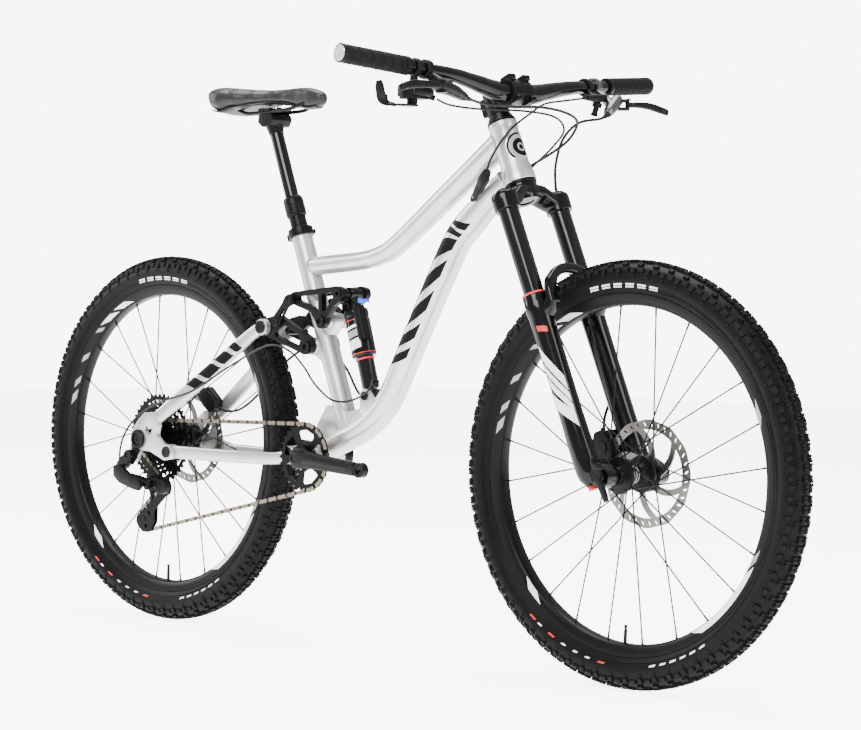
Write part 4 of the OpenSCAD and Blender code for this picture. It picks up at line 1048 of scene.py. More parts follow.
m.piece("compression_dial", "compression_dial", BOLT, "black_anodised", 32, 0.6, hides=("compression_knob",))

m = Mesh()
for s in (-1, 1):
    prof = [(17.7, 329.6), (19.4, 329.6), (20.8, 328.6), (21.4, 326.6), (21.4, 318), (22.0, 316.5),
            (22.0, 300), (21.2, 292),
            (20.6, 270), (20.2, 180), (20.0, 120), (20.4, 96), (21.2, 70), (21.4, 40), (20.6, 18), (18.4, 8),
            (15, 3), (11.5, -2),
            (11.4, -5), (9.9, -5), (9.9, 2.4), (17.7, 14)]
    m.turned(prof, steer(LEG_O, s * LEG_Y, 0), STEER_UP, 56, True)
    # dropout: a drop-shaped lug that hugs the leg and holds the axle
    y0, y1 = (50.4, 84) if s > 0 else (-84, -50.4)
    lug = rounded([(3, 18), (29.5, 20), (31, 38), (50, 16), (60, 0), (50, -17), (34, -18), (22, -8),
                   (21.5, 4), (4, 6)],
                  [3, 1, 4, 12, 14, 12, 8, 2, 1, 3])
    m.flat(lug, y0 + (0 if s > 0 else 4), y1 - (4 if s > 0 else 0), [circle((42, 0), 7.7, 28)],
           place=lambda x, y, z: steer(x, y, z))
m.piece("lower_legs", "fork_lower", PAINT, "black_paint", 32, 1.6, segments=3, bevel_angle=52,
        hides=("fork_lowers",))
m = Mesh()
arch = []
for k in range(13):
    a = math.radians(180 * k / 12)
    arch.append(steer(42.3, 62.5 * math.cos(a), 306 + 61 * math.sin(a) ** 0.8))
m.sweep(arch, [(11, 7.8)] * 3 + [(8.5, 7.6)] * 7 + [(11, 7.8)] * 3, 24, 5, side=tuple(STEER_FWD), power=3.2)
for s in (-1, 1):
    foot = [steer(LEG_O + 8, s * (LEG_Y - 1), 286), steer(30, s * (LEG_Y - 2), 300), steer(42, s * 63, 312)]
    m.sweep(foot, [(12, 9), (13, 12), (10, 9)], 24, 6, side=tuple(STEER_FWD), power=2.8)
m.piece("fork_arch", "fork_lower", PAINT, "black_paint", 38, hides=("fork_lowers",))
m = Mesh()
for s in (-1, 1):
    m.turned([(17.6, 328.8), (20.9, 328.8), (21.5, 329.5), (21.5, 331.6), (20.6, 332.4), (17.6, 332.4)],
             steer(LEG_O, s * LEG_Y, 0), STEER_UP, 56, True)
m.piece("wiper_rings", "fork_lower", REDSEAL, "red_anodised", 30)
m = Mesh()
for s in (-1, 1):
    m.turned([(17.65, 331.8), (19.8, 331.8), (19.9, 332.5), (18.8, 333.1), (17.65, 333.2)],
             steer(LEG_O, s * LEG_Y, 0), STEER_UP, 56, True)
m.piece("wiper_lips", "fork_lower", GRIP, "grip_rubber", 30)


def leg_mark(m, s, s0, s1, a0, a1, slant=0.0, r=20.25):
    """A mark on a lower leg's skin; angles are from straight ahead, positive outward."""
    def place(u, v):
        h = s0 + (s1 - s0) * u + slant * (v - 0.5)
        a = math.radians(a0 + (a1 - a0) * v)
        rr = r + 0.8 * max(0, 100 - h) / 60
        return [steer(LEG_O + g * math.cos(a), s * (LEG_Y + g * math.sin(a)), h) for g in (rr + 0.3,
                                                                                           rr - 0.5)]
    skin(m, 10, 10, place)


m = Mesh()
for s in (-1, 1):
    for s0, s1, slant in ((112, 138, 40), (144, 160, 56), (165, 181, 60), (187, 212, 64)):
        leg_mark(m, s, s0, s1, 30, 118, slant)
m.piece("leg_marks", "fork_lower", WHITE, "black_paint", 60)
m = Mesh()
for s in (-1, 1):
    leg_mark(m, s, 262, 272, 40, 88, 6, r=20.75)
m.piece("leg_small_marks", "fork_lower", REDSEAL, "black_paint", 60)
m = Mesh()
wave = []
for k in range(36):
    a = 2 * PI * k / 36
    r = 9 - (0.8 if k % 3 == 0 else 0)
    wave.append((LEG_O + r * math.cos(a), -LEG_Y + r * math.sin(a)))
m.flat(wave, -11.8, 1.5, place=lambda x, y, z: steer(x, z, y))
m.piece("rebound_dial", "rebound_dial", RED, "red_anodised", 32, 0.7, hides=("rebound_knob",))
m = Mesh()
m.turned([(0.01, -88), (7.4, -88), (7.4, 84), (4, 84), (4, 79), (0.01, 79)], at(FRONT, 0), E_Y, 32)
m.turned([(0.01, -92.6), (10.4, -92.6), (11.4, -91.6), (11.4, -85.4), (10.4, -84.4), (0.01, -84.4)],
         at(FRONT, 0), E_Y, 40)
handle = [(579, -92.5, 349), (587, -92, 337), (593, -91.8, 325), (598, -91.6, 314)]
m.sweep(handle, [(8.0, 3.4), (6.6, 3.2), (6.4, 3.0), (5.0, 2.4)], 20, 8, power=3)
m.piece("axle_and_lever", "thru_axle", ANOD, "black_anodised", 35, hides=("front_axle",))

# front brake caliper, in the steering frame
m = Mesh()
body_side = rounded([(-35, 46), (-36, 88), (-28, 99), (-12, 98), (-5, 84), (-5, 56), (-12, 43), (-28, 42)], 6)
for y0, y1 in ((26, 38.0), (42.6, 56)):
    m.flat(body_side, y0, y1, place=lambda x, y, z: steer(x, y, z))
m.flat(rounded([(-36, 58), (-36, 84), (-24, 88), (-24, 54)], 4), 37, 44, place=lambda x, y, z: steer(x, y, z))
for s0 in (46, 84):
    m.add(*steer_box(-14, -4, 48, 55, s0, s0 + 12, 3))
m.turned([(0.01, 0), (4.4, 0), (4.4, 8), (3.2, 9), (0.01, 9)], steer(-22, 44, 96), STEER_UP, 20)
m.piece("front_caliper_body", "fork_lower", ANOD, "black_anodised", 32, 1.8, segments=3,
        hides=("front_caliper",))
m = Mesh()
for s0 in (52, 90):
    bolt(m, steer(-14, 55, s0), -STEER_FWD, 4.2, 5, 2.2)
m.turned([(0.01, 0), (9.5, 0), (9.5, 1.6), (8.4, 2.4), (0.01, 2.4)], steer(-21, 56, 70), E_Y, 32)
m.turned([(0.01, -2.4), (9.5, -2.4), (9.5, 0), (0.01, 0)], steer(-21, 26, 70), E_Y, 32)
m.piece("front_caliper_bolts", "fork_lower", BOLT, "black_steel", 32)


# ---------------------------------------------------------------- stem, bar and grips
BAR = steer(45.5, 0, 689)


def bar_inner(s):
    return Vector((BAR.x, s * 42, BAR.z))


def bar_bend(s):
    return Vector((BAR.x + 1, s * 160, BAR.z + 19.5))


def bar_end(s):
    return Vector((BAR.x - 27, s * 390, BAR.z + 39))


def bar_at(s, y):
    return bar_bend(s).lerp(bar_end(s), (y - 160) / 230)


def bar_ring(m, s, y0, y1, prof, n=40):
    """Turned rings on the bar's outer stretch: prof is (radius, share of the way from y0 to y1)."""
    a, b = bar_at(s, y0), bar_at(s, y1)
    m.turned([(r, t * (b - a).length) for r, t in prof], a, b - a, n, True)


m = Mesh()
half = [(BAR.x, 0, BAR.z), (BAR.x, 30, BAR.z), tuple(bar_inner(1) + Vector((0, 6, 0.4))),
        (BAR.x + 0.6, 80, BAR.z + 6.4),
        (BAR.x + 1.0, 125, BAR.z + 14.6), tuple(bar_bend(1)), tuple(bar_at(1, 200)), tuple(bar_at(1, 270)),
        tuple(bar_at(1, 340)),
        tuple(bar_end(1))]
rad = [17.4, 17.4, 17.0, 15.0, 12.9, 11.7, 11.15, 11.1, 11.1, 11.1]
full = [(x, -y, z) for x, y, z in half[:0:-1]] + half
m.sweep(full, rad[:0:-1] + rad, 36, 7, side=(0, 0, 1))
m.piece("riser_bar", "steerer", PAINT, "black_paint", 40, hides=("handlebar",))
m = Mesh()
STEM_S = HEAD_TOP + 18.5
m.turned([(14.4, STEM_S), (18.4, STEM_S), (19, STEM_S + 0.8), (19, STEM_S + 39.2), (18.4, STEM_S + 40),
          (14.4, STEM_S + 40)],
         STEER_FOOT, STEER_UP, 56, True)
m.sweep([steer(10, 0, STEM_S + 20), steer(22, 0, STEM_S + 20), steer(34, 0, STEM_S + 19.5)],
        [(15.5, 17), (14.5, 15.5), (17, 19)],
        36, 8, side=(0, 1, 0), power=3.2)
m.turned([(17.6, -25), (22, -25), (23, -24), (23, -13), (21.6, -11), (21.6, 11), (23, 13), (23, 24), (22, 25),
          (17.6, 25)],
         BAR, E_Y, 64, True)
for s in (-1, 1):
    for k in (-1, 1):
        m.add(*steer_box(44, 68, s * 18 - 6.5, s * 18 + 6.5, 689 + k * 20 - 5.5, 689 + k * 20 + 5.5, 4))
m.add(*steer_box(-27, -12, -10, 10, STEM_S + 4, STEM_S + 36, 4))
m.piece("stem_body", "steerer", ANOD, "black_anodised", 32, hides=("stem",))
m = Mesh()
for s in (-1, 1):
    for k in (-1, 1):
        bolt(m, steer(66, s * 18, 689 + k * 20), STEER_FWD, 4.2, 3.4, 2.2)
for t in (11, 29):
    bolt(m, steer(-20, 10, STEM_S + t), E_Y, 4.0, 3.0, 2.0)
m.turned([(0.01, STEM_S + 41), (3.4, STEM_S + 41), (3.4, STEM_S + 44.4), (5.2, STEM_S + 44.4),
          (5.6, STEM_S + 43.6), (15.6, STEM_S + 43.6),
          (16.8, STEM_S + 42.6), (17, STEM_S + 40.2), (0.01, STEM_S + 40.2)], STEER_FOOT, STEER_UP, 48)
m.piece("stem_cap_and_bolts", "steerer", BOLT, "black_steel", 32)

m = Mesh()
for s in (-1, 1):
    rings = []
    y0, y1 = 262, 384
    count = 30
    for k in range(count):
        t0 = k / count
        low, high = (14.4, 15.7) if k % 5 else (13.8, 14.0)
        rings += [(low, t0 + 0.08 / count), (high, t0 + 0.3 / count), (high, t0 + 0.72 / count),
                  (low, t0 + 0.94 / count)]
    bar_ring(m, s, y0, y1, [(11.3, 0), (14.4, 0), *rings, (14.4, 1), (11.3, 1)], 40)
m.piece("grip_sleeves", "steerer", GRIP, "grip_rubber", 25, hides=("grips",))
m = Mesh()
n = Mesh()
for s in (-1, 1):
    for y0, y1 in ((252.5, 262.5), (383, 391)):
        bar_ring(m, s, y0, y1, [(11.3, 0), (15.2, 0), (15.9, 0.08), (15.9, 0.9), (15.2, 1), (11.3, 1)], 48)
    a = bar_at(s, 391)
    d = (bar_end(s) - bar_bend(s)).normalized()
    n.turned([(0.01, 0), (13.4, 0), (13.4, 0.4), (12.4, 1.2), (0.01, 1.3)], a - d * 0.4, d, 36)
    bolt(m, bar_at(s, 257.5) + Vector((8, 0, -12.4)), (0.5, 0, -0.86), 3.4, 2.4, 1.8)
m.piece("grip_collars", "steerer", ANOD, "black_anodised", 30)
n.piece("bar_end_plugs", "steerer", SILVER, "silver_aluminium", 30)


# ---------------------------------------------------------------- brake controls
def barclamp(m, s, y, w, r, toward):
    """A hinged clamp round the bar, with its bolt block on the side it points toward."""
    a, b = bar_at(s, y - w / 2), bar_at(s, y + w / 2)
    d = (b - a).normalized()
    m.turned([(11.3, 0), (r - 0.8, 0), (r, 0.8), (r, (b - a).length - 0.8), (r - 0.8, (b - a).length),
              (11.3, (b - a).length)],
             a, d, 44, True)
    c = (a + b) / 2
    t = Vector(toward).normalized()
    e = c + t * (r + 1)
    m.sweep([e - t * 6, e + t * 5], [(6.4, w / 2), (5.6, w / 2)], 20, 3, side=tuple(d), power=4)


for s, name, mat, slot_name in ((1, "left", GUN, "silver_aluminium"), (-1, "right", ANOD, "black_anodised")):
    m = Mesh()
    barclamp(m, s, 214, 12, 16.4, (0.7, 0, -0.7))
    m.sweep([(308, s * 213, 999), (326, s * 211, 990), (344, s * 207, 976)],
            [(7.5, 6.5), (7.2, 7.5), (8.5, 9)], 28, 8, power=2.6)
    if s < 0:
        pts = [(354, -252, 982), (350, -238, 980.5), (345, -216, 978), (340, -190, 974), (334, -166, 969),
               (330, -151, 966.4)]
        m.sweep(pts, [(9, 9), (11.4, 11.2), (12, 11.6), (10.6, 10.6), (8.6, 8.6), (6, 6)], 36, 8,
                side=(0, 0, 1), power=2.3)
    else:
        pts = [(344, 228, 987), (345, 222, 984), (348, 208, 974), (351, 196, 965), (352, 188, 959)]
        m.sweep(pts, [(9, 9), (10.4, 10.6), (10.6, 10.8), (9.4, 9.4), (6.4, 6.4)], 36, 8, side=(1, 0, 0),
                power=2.3)
    m.piece(f"{name}_brake_master", "steerer", mat, slot_name, 34, hides=("brake_bodies",))
    m = Mesh()
    m.sweep([(342, s * 222, 984), (352, s * 232, 984.6), (358, s * 240, 985)],
            [(3.4, 10), (3.2, 9.6), (2.6, 8.6)], 24, 6,
            side=(0.7, -s * 0.7, 0), power=3)
    m.sweep([(342, s * 222, 970.4), (352, s * 232, 970), (358, s * 240, 970)],
            [(3.4, 10), (3.2, 9.6), (2.6, 8.6)], 24, 6,
            side=(0.7, -s * 0.7, 0), power=3)
    bolt(m, (358, s * 240, 987), (0, 0, 1), 4.6, 2.0, 2.2)
    c = bar_at(s, 214) + Vector((0.7, 0, -0.7)) * 19
    bolt(m, c + Vector((3.6, 0, 3.6)), (0.7, 0, 0.7), 3.8, 3.4, 2.0)
    if s < 0:
        m.turned([(0.01, 0), (8.4, 0), (8.4, 1.2), (7.6, 2), (0.01, 2)], (343, -205, 987.4), (-0.2, 0, 1), 32)
    m.piece(f"{name}_brake_bolts", "steerer", BOLT, "black_steel", 32)
    # curved blade with a hooked tip
    blade = [(357, 238, 977.8), (361.5, 249, 978), (363.5, 264, 978.5), (362.5, 285, 978.5),
             (361.0, 305, 977),
             (362.0, 322, 974), (365.5, 336, 970.5), (363.5, 342.5, 968.5)]
    blade = [(x, s * y, z) for x, y, z in blade]
    m = Mesh()
    m.sweep(blade, [(4.8, 4.6), (4.6, 4.8), (3.4, 5.4), (3.0, 6.2), (3.0, 6.6), (3.1, 6.4), (3.3, 5.8),
                    (2.0, 4.2)], 24, 8,
            side=(0, 0, 1), power=3.2)
    m.turned([(0.01, -4.6), (6, -4.6), (6.4, -4), (6.4, 4), (6, 4.6), (0.01, 4.6)], (358, s * 240, 977.5),
             (0, 0, 1), 32)
    m.piece(f"{name}_lever_blade", f"{name}_lever", ANOD, "black_anodised", 34,
            hides=(f"{name}_brake_lever",))


# ---------------------------------------------------------------- shifter and dropper remote
SHIFTER = (283, -229)
m = Mesh()
barclamp(m, -1, 236, 9, 15.6, (-0.2, 0, -1))
pod = rounded([(262, -238), (266, -248), (283, -250), (299, -244), (304, -230), (303, -214), (296, -206),
               (280, -208), (266, -216)], 8)
m.flat(pod, 964.6, 981, place=lambda x, y, z: Vector((x, z, y)))
m.turned([(0.01, 981), (12, 981), (15, 980), (15, 976), (0.01, 976)], (SHIFTER[0], SHIFTER[1], 0), (0, 0, 1),
         36)
m.turned([(5, 952.4), (8.2, 952.4), (8.8, 953.2), (8.8, 965), (5, 965)], (SHIFTER[0], SHIFTER[1], 0),
         (0, 0, 1), 32, True)
m.sweep([(294, -236, 999), (291, -234, 989), (288, -232, 978)], [(6, 5), (6, 7), (8, 9)], 24, 6, power=2.8)
m.flat(rounded([(266, -236), (272, -250), (290, -251), (303, -240), (306, -220), (300, -208), (284, -206),
                (270, -214)], 9),
       960.4, 966, place=lambda x, y, z: Vector((x, z, y)))
m.sweep([(300, -244, 973), (306, -228, 973), (305, -210, 972), (298, -202, 970)],
        [(5, 7), (7, 8.4), (6.4, 8), (4.6, 6)], 24, 6,
        side=(0, 0, 1), power=2.6)
m.piece("shifter_pod", "steerer", PLASTIC, "black_plastic", 32, 2.0, segments=3, bevel_angle=60,
        hides=("shifter_body",))
m = Mesh()
d = Vector((307 - 292, -198 + 218, 962 - 970)).normalized()
prof = [(0.01, 0), (5.4, 0)]
for k in range(5):
    prof += [(5.4, 3 + 4 * k), (4.4, 4 + 4 * k), (4.4, 5 + 4 * k), (5.4, 6 + 4 * k)]
prof += [(4.2, 24.5), (0.01, 25)]
m.turned(prof, (292, -218, 970), d, 24)
m.piece("shifter_barrel_adjuster", "steerer", PLASTIC, "black_plastic", 32)
m = Mesh()
m.turned([(0.01, 949), (4.8, 949), (4.8, 958.8), (0.01, 958.8)], (SHIFTER[0], SHIFTER[1], 0), (0, 0, 1), 24)
m.flat(rounded([(296, -226), (295, -242), (288, -258), (276, -268), (269, -262), (269, -240), (270, -226),
                (283, -219)],
               [5, 6, 8, 5, 5, 6, 6, 6]), 948.4, 951.6, place=lambda x, y, z: Vector((x, z, y)))
m.sweep([(275, -262, 950), (271, -275, 953), (267.5, -284.5, 962), (266, -287.5, 976), (265, -289, 988)],
        [(7, 2.2), (8.5, 2.2), (9.5, 2.2), (9, 2.2), (6, 1.8)], 20, 8, side=(0, -0.8, 0.6), power=3.2)
m.piece("thumb_paddle", "paddle", PLASTIC, "black_plastic", 34, hides=("shift_paddle",))
m = Mesh()
barclamp(m, 1, 186, 9, 15.6, (0.72, -0.2, -0.6))
m.sweep([(309, 185, 999), (322, 181, 991), (335, 176, 984.6)], [(5.4, 5), (5.4, 6), (6, 7)], 24, 6, power=2.6)
m.sweep([(336, 200, 988), (336.4, 190, 987), (337, 174, 986), (337.6, 160, 985.2), (338, 151, 984.8)],
        [(6.6, 6.6), (7.6, 7.2), (7.0, 6.6), (5.4, 5.4), (4, 4)], 28, 8, side=(0, 0, 1), power=2.4)
m.turned([(6.8, 0), (8.4, 0), (8.6, 0.6), (8.6, 8), (6.8, 8)], (332.6, 186, 979.7), (-0.341, 0, -0.94), 28,
         True)
m.piece("dropper_lever_body", "steerer", PLASTIC, "black_plastic", 34, hides=("dropper_remote",))
m = Mesh()
a, b = Vector((331, 186, 975.3)), Vector((324, 186, 956))
m.turned([(0.01, 0), (4.6, 0), (5.2, 1), (5.2, 15), (6.4, 16.4), (6.6, 18.4), (5.6, 20), (0.01, 20.6)], a,
         b - a, 32)
m.piece("dropper_thumb_button", "remote", PLASTIC, "black_plastic", 34, hides=("remote_button",))


# ---------------------------------------------------------------- hoses and cables
def hose(name, route, r, body=None, bend=None, hides=(), up=(0, 0, 1)):
    m = Mesh()
    m.sweep(route, [r] * len(route), 14, 7, side=up)
    o = m.piece(name, body, HOSE, "hose_black", 60, hides=hides)
    if bend:
        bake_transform(o)
    return o


FRONT_HOSE = [(354, 188, 957), (344, 178, 950), (320, 150, 942), (310, 122, 914), (314, 100, 875),
              (319, 92, 842),
              (325, 94, 806), (352, 96, 752), (386, 94, 700), (436, 96, 585), (462, 92, 510), (461, 80, 470),
              (466, 60, 440), (478, 44, 419.5)]
REAR_HOSE_FRONT = [(329, -144, 965), (318, -90, 960), (330, -40, 958), (368, 0, 958), (384, 45, 950),
                   (380, 76, 936),
                   (355, 84, 909), (329, 72, 887), (306, 51, 867), (280, 38, 850)]
REAR_HOSE_STAY = [(-34, 20, 420), (-60, 36, 440), (-104, 44, 458), (-146, 54, 500), (-190, 57, 532),
                  (-250, 57, 538),
                  (-330, 61, 498), (-400, 66, 440), (-445, 64, 412), (-473, 56, 407), (-491, 52.5, 412)]
SHIFT_FRONT = [(308.5, -195.5, 961), (296, -150, 955), (306, -90, 952), (340, -20, 952), (369, 28, 944),
               (365, 59, 923),
               (338, 61, 895), (313, 47, 867), (290, 36, 842)]
SHIFT_STAY = [(2, -26, 486), (-10, -26, 466), (-38, -28, 451), (-72, -31, 444), (-100, -36, 450),
              (-128, -46, 476),
              (-148, -54, 506), (-184, -57, 533), (-240, -57, 541), (-330, -62, 503), (-420, -78, 452),
              (-492, -86, 430),
              (-540, -88, 412), (-580, -91, 386), (-604, -92, 358), (-617, -90, 332), (-621, -88, 308)]
DROPPER_HOSE = [(337.5, 149, 984.6), (322, 110, 978), (317, 64, 970), (325, 20, 952), (310, -18, 920),
                (290, -36, 880),
                (277, -40, 848)]
SPLIT_LEFT, SPLIT_RIGHT = 3, 6
hose("front_hose", FRONT_HOSE, 2.5, bend=("steerer", "fork_lower", (325, 94, 806), (436, 96, 585)),
     hides=("front_brake_hose",),
     up=(0.6, 0, 0.3))
hose("rear_hose_loop", REAR_HOSE_FRONT, 2.5, bend=("steerer", "frame", REAR_HOSE_FRONT[0],
                                                   REAR_HOSE_FRONT[-2]),
     hides=("rear_brake_hose",), up=(0.5, 0.1, 0.8))
hose("shift_housing_loop", SHIFT_FRONT, 2, bend=("steerer", "frame", SHIFT_FRONT[0], SHIFT_FRONT[-2]),
     hides=("shift_housing",),
     up=(0.5, 0.1, 0.8))
hose("dropper_housing", DROPPER_HOSE, 2, bend=("steerer", "frame", DROPPER_HOSE[0], DROPPER_HOSE[-2]),
     hides=("dropper_hose",),
     up=(1, 0, 0.1))
for name, route, split, r, hidden in (("rear_hose", REAR_HOSE_STAY, SPLIT_LEFT, 2.5, "rear_brake_hose"),
                                      ("shift_housing", SHIFT_STAY, SPLIT_RIGHT, 2, "shift_housing")):
    k = 7
    path = [tuple(spline(route, i / k)) for i in range((len(route) - 1) * k + 1)]
    cut = split * k
    for tag, part, bend in (("pivot", path[:cut + 1], ("frame", "swingarm", route[1], route[split])),
                            ("stay", path[cut:], ("swingarm", "stays", route[split], route[split + 2]))):
        m = Mesh()
        m.sweep(part, [r] * len(part), 14, 1, side=(0.1, 1, 0.1))
        o = m.piece(f"{name}_{tag}_run", None, HOSE, "hose_black", 60, hides=(hidden,))
        [v * 0.001 for v in bend[2]]
        [v * 0.001 for v in bend[3]]
        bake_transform(o)
m = Mesh()
for p, d in (((354, 188, 957), (0.6, 0.6, 0.45)), ((329, -144, 965), (0.3, -1, 0.1)),
             ((336, 151, 985), (0.05, 1, 0.05))):
    m.turned([(2.6, -9), (3.6, -8), (3.9, -1), (4.4, -1), (4.4, 5), (2.6, 5)], p, d, 18, True)
m.piece("hose_ferrules", "steerer", BOLT, "black_anodised", 30)


# ---------------------------------------------------------------- rear frame
def stay_run(m, pts, rad, power=3.0):
    """One swept stay on each side."""
    both(m, sweep(pts, rad, 28, 7, side=(0, 1, 0), power=power))


m = Mesh()
stay_run(m, [(-184, 38, 345), (-210, 38.5, 337), (-240, 42, 333), (-300, 52.5, 332), (-380, 59, 331.5),
             (-450, 64, 331.5),
             (-494, 65, 331.5)],
         [(12.5, 6.4), (11.5, 6.2), (11.5, 6.2), (11.8, 6.3), (12, 6.0), (12.2, 5.6), (12.6, 5.2)])
both(m, turned([(7.6, 31.6), (12.6, 31.6), (13.4, 32.4), (13.4, 43.4), (12.6, 44.2), (7.6, 44.2)],
               at(MAIN, 0), E_Y, 44, True))
both(m, turned([(7.0, 59.6), (13.2, 59.6), (14.2, 60.4), (14.2, 69.4), (13.2, 70.2), (7.0, 70.2)],
               at(HORST, 0), E_Y, 44, True))
m.sweep([(-212, -38, 329), (-206, -20, 326.5), (-200, 0, 326), (-206, 20, 326.5), (-212, 38, 329)],
        [(4.2, 13)] * 5, 28, 8, side=(1, 0, 0), power=3)
m.piece("chainstay_tubes", "swingarm", RAW, "raw_aluminium", 34, hides=("chainstay",))
m = Mesh()
both(m, turned([(0.01, 60), (6.8, 60), (6.8, 80.4), (10.2, 80.4), (11, 81.2), (11, 82.2), (10.2, 83), (6, 83),
                (5.2, 81.6), (0.01, 81.6)],
               at(HORST, 0), E_Y, 36))
m.piece("rear_pivot_bolts", "swingarm", BOLT, "black_anodised", 32)
m = Mesh()
for s in (-1, 1):
    bead(m, [at(polar(MAIN, 13.4, 130 + 10 * k), s * (38 + 0)) for k in range(15)], 1.5, closed=False)
    bead(m, [at(polar(HORST, 14.3, -60 + 10 * k), s * 65) for k in range(13)], 1.3, closed=False)
m.piece("chainstay_welds", "swingarm", WELD, "raw_aluminium", 60)

STAY_RUN = [(-268, 44, 574), (-292, 44.6, 562.5), (-330, 48.5, 536), (-400, 58, 484), (-480, 69.4, 427),
            (-528, 74.6, 394), (-552, 75.5, 382)]
STAY_RAD = [(11, 6.4), (12.6, 6.4), (13.6, 6.4), (14.4, 6.2), (15, 5.6), (13, 4.6), (12, 4.5)]
m = Mesh()
stay_run(m, STAY_RUN, STAY_RAD, 2.8)
both(m, turned([(10.9, 37.4), (14.4, 37.4), (15.2, 38.2), (15.2, 49.4), (14.4, 50.2), (10.9, 50.2)],
               at(STAY, 0), E_Y, 44, True))
m.piece("seatstay_tubes", "stays", RAW, "raw_aluminium", 34, hides=("seatstays",))
m = Mesh()
drop = rounded([(-594, 350), (-592, 372), (-578, 388), (-558, 404), (-534, 405), (-517, 384), (-523, 362),
                (-506, 348), (-484, 344),
                (-478, 331), (-484, 318), (-500, 315), (-540, 330), (-576, 331), (-590, 337)],
               [10, 10, 8, 8, 8, 10, 10, 8, 8, 12, 10, 10, 14, 8, 8])
window = rounded([(-560, 372), (-545, 384), (-534, 376), (-544, 356)], 6)
for s in (-1, 1):
    part = flat(drop, 71.2, 80, [circle(REAR, 6.2, 28), circle(HORST, 7.2, 28), window])
    m.add(*(part if s > 0 else mirror_y(part)))
m.flat(rounded([(-594, 350), (-606, 322), (-601, 308), (-587, 306), (-577, 316), (-571, 335)], 6), -80, -71.2,
       [circle(HANGER, 5.2, 24)])
m.piece("dropouts", "stays", RAW, "raw_aluminium", 34, 1.5, segments=3)
m = Mesh()
for s in (-1, 1):
    bead(m, [(-520, s * 79.6, 400), (-527, s * 80.2, 404), (-538, s * 80.3, 404.5), (-548, s * 80.2, 400),
             (-556, s * 79.8, 393)],
         1.5, closed=False)
m.piece("dropout_welds", "stays", WELD, "raw_aluminium", 60)
m = Mesh()
for s in (-1, 1):
    for t0, t1 in ((1.9, 2.15), (2.28, 2.62), (2.72, 3.12), (3.22, 3.46)):
        def place(g, v):
            t = t0 + (t1 - t0) * g + 0.22 * (v - 0.5)
            p = spline(STAY_RUN, t)
            q = (spline(STAY_RUN, t + 0.02) - spline(STAY_RUN, t - 0.02)).normalized()
            w = (E_Y - q * q.dot(E_Y)).normalized()
            ru, rw = radii_at(STAY_RAD, t)
            c, sn = squared(math.radians(90 + 46 * (2 * v - 1)), 2.8)
            ends = [p + q.cross(w) * ((ru + lift) * c) + w * ((rw + lift) * sn) for lift in (0.3, -0.5)]
            return [(e.x, s * e.y, e.z) for e in ends]
        skin(m, 6, 6, place)
m.piece("seatstay_marks", "stays", DARK, "black_paint", 60)
m = Mesh()
m.turned([(0.01, -80), (5.9, -80), (5.9, 80), (0.01, 80)], at(REAR, 0), E_Y, 28)
m.turned([(4, -81.6), (5, -83), (10.2, -83), (11, -82.2), (11, -80.2), (0.01, -80.2), (0.01, -81.6)],
         at(REAR, 0), E_Y, 36)
m.turned([(0.01, 80.2), (9, 80.2), (9, 82.4), (8.4, 83), (0.01, 83)], at(REAR, 0), E_Y, 36)
m.piece("rear_thru_axle", "stays", ANOD, "black_anodised", 32, hides=("rear_axle",))
m = Mesh()
cal = rounded([(-547, 437), (-528, 452), (-510, 440), (-494, 425), (-496, 408), (-511, 403), (-530, 416)], 6)
for y0, y1 in ((42, 53.4), (58.6, 66)):
    m.flat(cal if y0 < 50 else rounded([(-541, 438), (-524, 450), (-498, 426), (-500, 408), (-514, 402),
                                        (-528, 416)], 6), y0, y1)
m.flat(rounded([(-530, 446), (-524, 453), (-496, 430), (-494, 418), (-504, 424)], 3), 48, 62)
m.piece("rear_caliper_body", "stays", ANOD, "black_anodised", 32, 1.6, segments=3, hides=("rear_caliper",))
m = Mesh()
for p in ((-536, 442), (-503, 416)):
    bolt(m, at(p, 66), E_Y, 4, 3, 2)
m.turned([(0.01, 0), (8.4, 0), (8.4, 1.4), (7.6, 2), (0.01, 2)], at((-519, 427), 66), E_Y, 28)
m.piece("rear_caliper_bolts", "stays", BOLT, "black_steel", 32)


# ---------------------------------------------------------------- links, rocker and struts
def pair(m, outline, y0, y1, holes=()):
    both(m, flat(outline, y0, y1, holes))


m = Mesh()
lower = rounded([(-281, 566), (-282, 581), (-270, 590), (-244, 596), (-229, 595), (-150, 557), (-144, 541),
                 (-151, 528), (-167, 526),
                 (-272, 559)], [8, 10, 8, 8, 8, 10, 12, 10, 8, 8])
gap = rounded([(-250, 561), (-228, 572.5), (-218, 579), (-181, 562), (-176, 552), (-182, 540)], 4)
pair(m, lower, 24, 36, [gap, circle(LINK, 6.1, 28)])
m.turned([(0.01, -24), (5, -24), (5, 24), (0.01, 24)], at((-222, 566), 0), E_Y, 28)
m.piece("lower_link_plates", "link", ANOD, "black_anodised", 32, 2.2, segments=3, hides=("lower_link",))
m = Mesh()
for s in (-1, 1):
    m.turned([(0.01, 35), (5.9, 35), (5.9, 51), (11.2, 51), (12, 51.8), (12, 53.2), (11.2, 54), (6, 54),
              (5, 52.4), (0.01, 52.4)],
             at(STAY, 0), (0, s, 0), 36)
    m.turned([(0.01, 35), (4.8, 35), (4.8, 45), (0.01, 45)], at(STRUT, 0), (0, s, 0), 24)
m.piece("lower_link_pins", "link", BOLT, "black_anodised", 32)
m = Mesh()
arm = rounded([(-210, 623), (-207, 635), (-196, 640), (-84, 652), (-70, 648), (-66, 635), (-76, 625),
               (-92, 615), (-108, 595), (-111, 583),
               (-120, 574), (-133, 576), (-139, 588), (-151, 604), (-193, 616)],
              [8, 8, 8, 10, 10, 10, 8, 8, 8, 8, 8, 8, 8, 8, 6])
